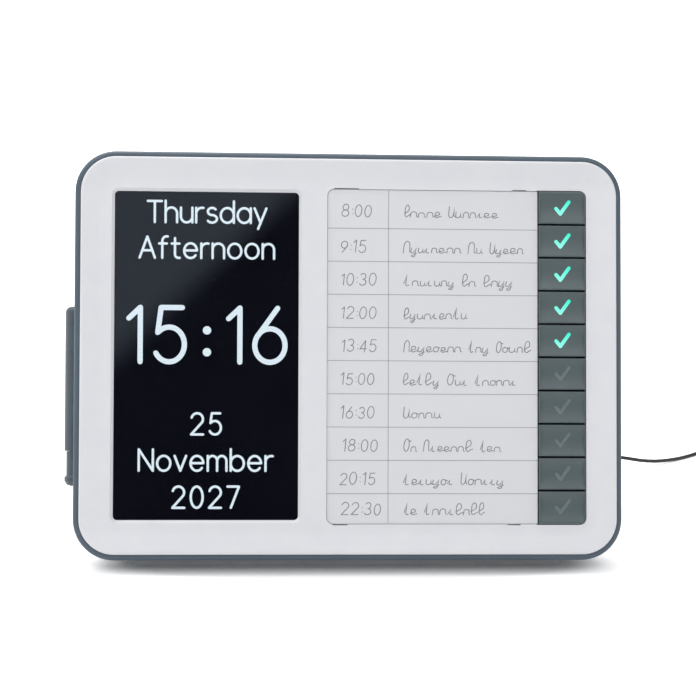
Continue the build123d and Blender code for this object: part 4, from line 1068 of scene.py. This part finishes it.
@dataclass
class BackPanel:
    """The raised signs of the setting keys and the cloth behind the speaker's slots."""

    stance: Stance
    strokes: StrokeTree
    rows: RowTree
    sign_size: float = 3.4
    sign_stroke: float = 0.7
    sign_relief: float = 0.22
    sign_sides: int = 12
    ring_share: float = 0.8
    ring_points: int = 24
    wire_pitch: float = 1.1
    wire_size: float = 0.3
    cloth_share: float = 0.68

    def signs(self) -> None:
        """Raises a plus, a minus and a ring on the three setting keys."""
        half = self.sign_size / 2
        level = [(-half, 0.0), (half, 0.0)]
        angles = [math.radians(360 / self.ring_points * i) for i in range(self.ring_points)]
        ring = [(half * self.ring_share * math.cos(a), half * self.ring_share * math.sin(a))
                for a in angles]
        signs = {1: [level, [(0.0, -half), (0.0, half)]], 2: [level], 3: [ring + ring[:1]]}
        for number, shape in signs.items():
            key = f"setting_key_{number}"
            low, high = self.stance.local_box(key)
            x, z = -(low.x + high.x) / 2, (low.z + high.z) / 2
            strokes = [[(a + x, b + z) for a, b in stroke] for stroke in shape]
            seat = Seat(self.stance.plane(Side.BACK, high.y), key, "setting_key_plastic")
            self.strokes.draw(f"setting_sign_{number}", strokes, self.sign_stroke,
                              self.sign_relief, self.sign_sides, PAD_PRINT, seat)

    def cloth(self) -> None:
        """Weaves an open cloth in front of the speaker's cone."""
        low, high = self.stance.local_box("speaker")
        x, z = -(low.x + high.x) / 2, (low.z + high.z) / 2
        reach = min(high.x - low.x, high.z - low.z) / 2 * self.cloth_share
        wire, pitch = self.wire_size, self.wire_pitch
        seat = Seat(self.stance.plane(Side.BACK, high.y + wire), "case", "speaker_black")
        for name, start, step, bar in (
            ("speaker_cloth_weft", (x, z - reach), (0.0, pitch, 0.0), (2 * reach, wire, wire)),
            ("speaker_cloth_warp", (x - reach, z), (pitch, 0.0, 0.0), (wire, 2 * reach, wire)),
        ):
            self.rows.bake(name, single_point(*start), {
                "Count": int(2 * reach / pitch), "Step": step, "Bar": bar,
            }, CLOTH, seat)


@dataclass
class StandLeg:
    """The finger ribs on the fold-out leg."""

    stance: Stance
    rows: RowTree
    rib_count: int = 6
    rib_pitch: float = 3.2
    rib_size: tuple[float, float, float] = (34.0, 1.3, 1.8)
    rib_rise: float = 10.0
    web_inset: float = 0.45

    def build(self) -> None:
        """Raises a row of finger ribs on the channel's floor, above the foot."""
        low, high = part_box("leg_foot")
        foot = (Vector(low) + Vector(high)) / 2
        fold = next(j for j in frame["joints"] if j["name"] == "leg_fold")
        opened = math.radians(fold["range_deg"][1])
        turn = Matrix.Rotation(opened - self.stance.lean, 4, "X")
        face = Side.BACK.axes(-self.web_inset, self.rib_rise)
        place = Matrix.Translation(foot) @ turn @ Matrix.Scale(MM, 4) @ face
        self.rows.bake("leg_grip_ribs", single_point(), {
            "Count": self.rib_count, "Step": (0.0, self.rib_pitch, 0.0), "Bar": self.rib_size,
        }, LEG_ABS, Seat(place, "stand_leg", "slate_plastic"))


@dataclass
class SupplyLead:
    """The thin supply lead: out of the back, along the table and into a tied coil."""

    diameter: float = 2.0
    length: float = 1500.0
    route: tuple[tuple[float, float, float], ...] = (
        (62, 54.27, 33.06), (62, 67.72, 29.21), (64, 89, 22.5), (72, 108, 17), (87, 126, 13),
        (108, 140, 10.5), (134, 149.5, 9), (160, 155.5, 8), (181, 161.5, 2.6),
        (199, 172.5, 1.0), (210.25, 181.062, 1.0), (221.77, 192.166, 1.0),
    )
    coil_middle: tuple[float, float] = (240.1, 189.0)
    coil_inner: float = 9.0
    entry_angle: float = 133.95
    coil_turn: float = 5533.95
    first_move: float = 300.0
    move_pitch: float = 347.0
    move_width: float = 58.0
    winding: tuple[tuple[int, int], ...] = (
        (0, 0), (1, 0), (2, 0), (3, 0), (3, 1), (3, 2), (3, 3), (2, 3), (2, 2), (2, 1), (1, 1),
        (1, 2), (1, 3), (0, 3), (0, 2), (0, 1),
    )
    columns: int = 4
    layers: int = 4
    points_per_turn: int = 24
    outward: float = 1.006
    stub_end: float = 170.0
    stub_rise: float = 4.0
    stub_bend: float = 0.45
    tie_angle: float = 205.0
    tie_width: float = 5.0
    tie_thickness: float = 0.5
    tie_slack: float = 0.1
    tie_corner_steps: int = 5
    tie_floor: tuple[float, float] = (0.4, 0.05)

    def seat(self, index: int) -> Vector:
        """The radius and height of one turn in the coil's section."""
        column, row = self.winding[min(index, len(self.winding) - 1)]
        radius = self.coil_inner + (self.columns - 1 - column) * self.diameter
        return Vector((radius, self.diameter * (row + 0.5)))

    def coil(self) -> list[Vector]:
        """The coil's turns, wound from the outside and moving over once in each turn.

        Returns:
            The spline's points along the coil, in millimetres.
        """
        total = round(self.coil_turn / 360 * self.points_per_turn)
        points = []
        for step in range(total + 1):
            swept = self.coil_turn * step / total
            since = swept - self.first_move
            index = max(0, math.floor(since / self.move_pitch))
            share = min(1.0, max(0.0, (since - index * self.move_pitch) / self.move_width))
            share = share * share * (3 - 2 * share)
            seat = self.seat(index).lerp(self.seat(index + 1), share)
            angle = math.radians(self.entry_angle - swept)
            radius = seat.x * self.outward
            points.append(Vector((self.coil_middle[0] + radius * math.cos(angle),
                                  self.coil_middle[1] + radius * math.sin(angle), seat.y)))
        return points

    def curve(self) -> Object:
        """Lays the lead on one smooth spline.

        Returns:
            The lead.
        """
        ring = self.coil()
        end = Vector((ring[-1].x, self.stub_end, self.stub_rise))
        points = [Vector(p) for p in self.route] + ring + [ring[-1].lerp(end, self.stub_bend), end]
        data = bpy.data.curves.new("supply_lead", "CURVE")
        data.dimensions = "3D"
        spline = data.splines.new("NURBS")
        spline.points.add(len(points) - 1)
        for point, place in zip(spline.points, points):
            point.co = (*(place * MM), 1.0)
        spline.order_u = 3
        spline.use_endpoint_u = True
        data.resolution_u = 4
        data.bevel_depth = self.diameter / 2 * MM
        data.bevel_resolution = 3
        data.use_fill_caps = True
        data.materials.append(LEAD_PVC.material())
        lead = link(bpy.data.objects.new("supply_lead", data))
        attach(lead, "case")
        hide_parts("cord", "cord_coil")
        LOG.info("supply_lead: %d points on case", len(points))
        return lead

    def tie(self) -> Object:
        """Bends a flat strip around the coil's turns.

        Returns:
            The tie.
        """
        corner = self.diameter / 2
        inner = self.coil_inner - self.diameter / 2
        outer = inner + self.columns * self.diameter
        top = self.layers * self.diameter
        inside = (self.tie_slack, self.tie_floor[0])
        outside = (self.tie_slack + self.tie_thickness, self.tie_floor[1])
        shape = bmesh.new()
        rings = []
        for x, z, start in ((outer - corner, corner, -90), (outer - corner, top - corner, 0),
                            (inner + corner, top - corner, 90), (inner + corner, corner, 180)):
            for step in range(self.tie_corner_steps + 1):
                angle = math.radians(start + 90 / self.tie_corner_steps * step)
                ring = []
                for side, (grow, floor) in ((-1, inside), (1, inside), (1, outside),
                                            (-1, outside)):
                    ring.append(shape.verts.new((
                        x + math.cos(angle) * (corner + grow), side * self.tie_width / 2,
                        max(floor, z + math.sin(angle) * (corner + grow)),
                    )))
                rings.append(ring)
        for a, b in zip(rings, rings[1:] + rings[:1]):
            for i in range(4):
                shape.faces.new((a[i], b[i], b[(i + 1) % 4], a[(i + 1) % 4]))
        bmesh.ops.recalc_face_normals(shape, faces=shape.faces)
        mesh = bpy.data.meshes.new("coil_tie")
        shape.to_mesh(mesh)
        shape.free()
        mesh.materials.append(TIE_PVC.material())
        middle = Vector((*self.coil_middle, 0.0)) * MM
        turn = Matrix.Rotation(math.radians(self.tie_angle), 4, "Z")
        place = Matrix.Translation(middle) @ turn @ Matrix.Scale(MM, 4)
        return set_down("coil_tie", mesh, Seat(place, "case", "cord_rubber"))

    def build(self) -> None:
        """Builds the lead with its tie."""
        lead = self.curve()
        tie = self.tie()
        exit_place = Vector(self.route[0]) * MM


@dataclass
class PlugRelief:
    """The raised rings that let the plug's tapered tail bend evenly."""

    stance: Stance
    rings: RingTree
    count: int = 7
    pitch: float = 2.1
    first: float = 14.6
    first_radius: float = 2.86
    last_radius: float = 2.05
    wire: float = 0.8

    def build(self) -> None:
        """Slides the rings onto the tail, from the plug's body outwards."""
        low, high = self.stance.local_box("power_plug")
        axis = Matrix.Translation(((low.x + high.x) / 2, high.y - self.first, (low.z + high.z) / 2))
        place = self.stance.matrix() @ axis @ Matrix.Rotation(math.radians(-90), 4, "X")
        self.rings.bake("plug_relief_rings", single_point(), {
            "Count": self.count, "Pitch": self.pitch, "First Radius": self.first_radius,
            "Last Radius": self.last_radius, "Wire": self.wire,
        }, PLUG_PVC, Seat(place, "case", "cord_rubber"))


# ------------------------------------------------------------------ the studio
@dataclass
class Studio:
    """A white table and surround, soft lamps and the camera; lengths are in metres."""

    aim: tuple[float, float, float] = (-0.00218, -0.00156, 0.10664)
    distance: float = 1.034
    azimuth: float = 4.562
    elevation: float = -13.545
    roll: float = 1.416
    sensor: float = 36.0
    focal_pixels: float = 2200.0
    frame_pixels: float = 696.0
    ambient: float = 0.75
    lamps: tuple[tuple[str, tuple[float, float, float], float, float], ...] = (
        ("overhead_box", (-0.3, 0.65, 1.8), 0.9, 19.5),
        ("left_box", (-1.2, -0.1, 1.5), 1.0, 7.2),
        ("front_box", (0.1, -1.5, 1.4), 0.9, 5.0),
    )
    table_half: float = 12.0
    table_pale: float = 0.85
    table_roughness: float = 0.9
    floor_gain: float = 1.03
    floor_glow: float = 0.28
    front_stretch: float = 4.3
    shadow_depth: float = 0.12
    shadow_middle: float = 0.003
    shadow_edge: tuple[float, float] = (0.105, 0.14)
    far_edge: tuple[float, float] = (0.4, 1.2)
    card_place: tuple[float, float, float] = (-0.034, -2.5, 0.45)
    card_half: float = 1.15
    card_corner: tuple[float, float] = (1.06, 1.16)
    card_glow: tuple[float, float] = (0.02, 0.48)
    card_colour: str = "#d9ecff"

    def camera(self) -> None:
        """Sets the camera that looks down on the leaning clock."""
        data = bpy.data.cameras.new("camera")
        data.sensor_width = self.sensor
        data.lens = self.sensor * self.focal_pixels / self.frame_pixels
        across, down = math.radians(self.azimuth), math.radians(self.elevation)
        forward = Vector((math.sin(across) * math.cos(down), math.cos(across) * math.cos(down),
                          math.sin(down)))
        level = Vector((math.cos(across), -math.sin(across), 0.0))
        upright = level.cross(forward)
        turn = math.radians(self.roll)
        right = level * math.cos(turn) + upright * math.sin(turn)
        up = right.cross(forward)
        place = Vector(self.aim) - forward * self.distance
        axes = Matrix((right, up, -forward)).transposed().to_4x4()
        camera = link(bpy.data.objects.new("camera", data))
        camera.matrix_world = Matrix.Translation(place) @ axes
        bpy.context.scene.camera = camera
        LOG.info("camera: %.2f mm lens", data.lens)

    def hang_lamps(self) -> None:
        """Hangs square soft boxes of some side and power, which face the clock."""
        for name, place, side, power in self.lamps:
            data = bpy.data.lights.new(name, "AREA")
            data.size = side
            data.energy = power
            lamp = link(bpy.data.objects.new(name, data))
            lamp.location = place
            way = Vector(self.aim) - Vector(place)
            lamp.rotation_euler = way.to_track_quat("-Z", "Y").to_euler()
            lamp.visible_transmission = False

    @staticmethod
    def seen(add: Adder) -> Node:
        """Tells what the eye meets from what only casts light.

        Args:
            add: Adds a node to the material or the world.

        Returns:
            The node that gives 1 for rays from the eye, by a mirror or through glass too, else 0.
        """
        path = add("ShaderNodeLightPath").outputs
        mirrored = add("ShaderNodeMath", {
            0: path["Is Camera Ray"], 1: path["Is Glossy Ray"],
        }, operation="MAXIMUM")
        return add("ShaderNodeMath", {
            0: mirrored, 1: path["Is Transmission Ray"],
        }, operation="MAXIMUM")

    def surround(self) -> None:
        """Makes the world white to the eye and to shiny surfaces, and plain light for the rest."""
        world = bpy.data.worlds.new("studio")
        world.use_nodes = True
        bpy.context.scene.world = world
        world.node_tree.nodes.clear()
        add = partial(add_node, world.node_tree)
        level = add("ShaderNodeMapRange", {
            "Value": self.seen(add), "To Min": self.ambient, "To Max": 1.0,
        })
        sky = add("ShaderNodeBackground", {"Color": WHITE, "Strength": level})
        add("ShaderNodeOutputWorld", {"Surface": sky})

    def plane(self, name: str, surface: str, place: Matrix, half: float) -> Object:
        """Makes a square staging plane.

        Args:
            name: Its name.
            surface: Its material's name.
            place: Its axes in the row frame.
            half: Half its side.

        Returns:
            The plane, with a new material.
        """
        mesh = bpy.data.meshes.new(name)
        mesh.from_pydata([(-half, -half, 0), (half, -half, 0), (half, half, 0), (-half, half, 0)],
                         [], [(0, 1, 2, 3)])
        mesh.transform(place)
        mesh.materials.append(bpy.data.materials.new(surface))
        mesh.materials[0].use_nodes = True
        made = link(bpy.data.objects.new(name, mesh))
        return made

    def floor(self) -> None:
        """Lays the white table: its own light fades in away from the clock, so shadows stay."""
        table = self.plane("table", "white_table", Matrix.Identity(4), self.table_half)
        tree = table.data.materials[0].node_tree
        add = partial(add_node, tree)
        place = add("ShaderNodeTexCoord").outputs["Object"]
        apart = add("ShaderNodeSeparateXYZ", {"Vector": place}).outputs
        footprint = add("ShaderNodeCombineXYZ")
        for axis, source, steps in (
            ("X", "X", (("SUBTRACT", self.shadow_middle),)),
            ("Y", "Y", (("MINIMUM", 0.0), ("MULTIPLY", self.front_stretch))),
            ("Z", "Y", (("SUBTRACT", self.shadow_depth), ("MAXIMUM", 0.0))),
        ):
            step = apart[source]
            for operation, number in steps:
                step = add("ShaderNodeMath", {0: step, 1: number}, operation=operation)
            fill(footprint, {axis: step})
        glows = []
        for spot, (first, last), glow in ((footprint, self.shadow_edge, self.floor_glow),
                                          (place, self.far_edge, 1.0 - self.floor_glow)):
            away = add("ShaderNodeVectorMath", {0: spot}, operation="LENGTH")
            glows.append(add("ShaderNodeMapRange", {
                "Value": away.outputs["Value"], "From Min": first, "From Max": last,
                "To Min": 0.0, "To Max": glow,
            }, interpolation_type="SMOOTHSTEP"))
        both = add("ShaderNodeMath", {0: glows[0], 1: glows[1]}, operation="ADD")
        own = add("ShaderNodeMath", {0: both, 1: self.seen(add)}, operation="MULTIPLY")
        path = add("ShaderNodeLightPath").outputs
        pale = add("ShaderNodeMapRange", {
            "Value": path["Is Camera Ray"], "To Min": self.table_pale, "To Max": self.floor_gain,
        })
        fill(tree.nodes["Principled BSDF"], {
            "Base Color": pale, "Roughness": self.table_roughness, "Specular IOR Level": 0.0,
            "Emission Color": WHITE, "Emission Strength": own,
        })

    def dark_card(self) -> None:
        """Hangs a dark card with one bright corner, which only shiny surfaces mirror."""
        upright = Matrix.Rotation(math.radians(-90), 4, "X")
        card = self.plane("dark_card", "card", Matrix.Translation(self.card_place) @ upright,
                          self.card_half)
        tree = card.data.materials[0].node_tree
        tree.nodes.clear()
        add = partial(add_node, tree)
        place = add("ShaderNodeTexCoord").outputs["Object"]
        apart = add("ShaderNodeSeparateXYZ", {"Vector": place}).outputs
        slant = add("ShaderNodeMath", {0: apart["Z"], 1: apart["X"]}, operation="SUBTRACT")
        bright = add("ShaderNodeMapRange", {
            "Value": slant, "From Min": self.card_corner[0], "From Max": self.card_corner[1],
            "To Min": self.card_glow[0], "To Max": self.card_glow[1],
        }, interpolation_type="SMOOTHSTEP")
        glow = add("ShaderNodeEmission", {"Color": linear(self.card_colour), "Strength": bright})
        add("ShaderNodeOutputMaterial", {"Surface": glow})
        card.visible_camera = False
        card.visible_diffuse = False
        card.visible_shadow = False

    def build(self) -> None:
        """Builds the studio."""
        self.camera()
        self.surround()
        self.floor()
        self.dark_card()
        self.hang_lamps()
        bpy.context.scene.view_settings.view_transform = "Standard"


def main() -> None:
    """Builds the studio, dresses the CAD nodes and adds what they lack, in order."""
    logging.basicConfig(level=logging.INFO, format="%(name)s: %(message)s")
    Studio().build()
    SupplyLead().build()
    for finish, nodes in WORN:
        dress(finish, nodes)
    stance = Stance.from_frame()
    LOG.info("leans %.2f degrees about %s", math.degrees(stance.lean), tuple(stance.origin))
    strokes, rows = StrokeTree(), RowTree()
    Display(stance, strokes).build()
    TaskBoard(stance, strokes, rows).build()
    TickKeys(stance).build()
    back = BackPanel(stance, strokes, rows)
    back.signs()
    back.cloth()
    StandLeg(stance, rows).build()
    PlugRelief(stance, RingTree()).build()


if __name__ == "__main__":
    main()
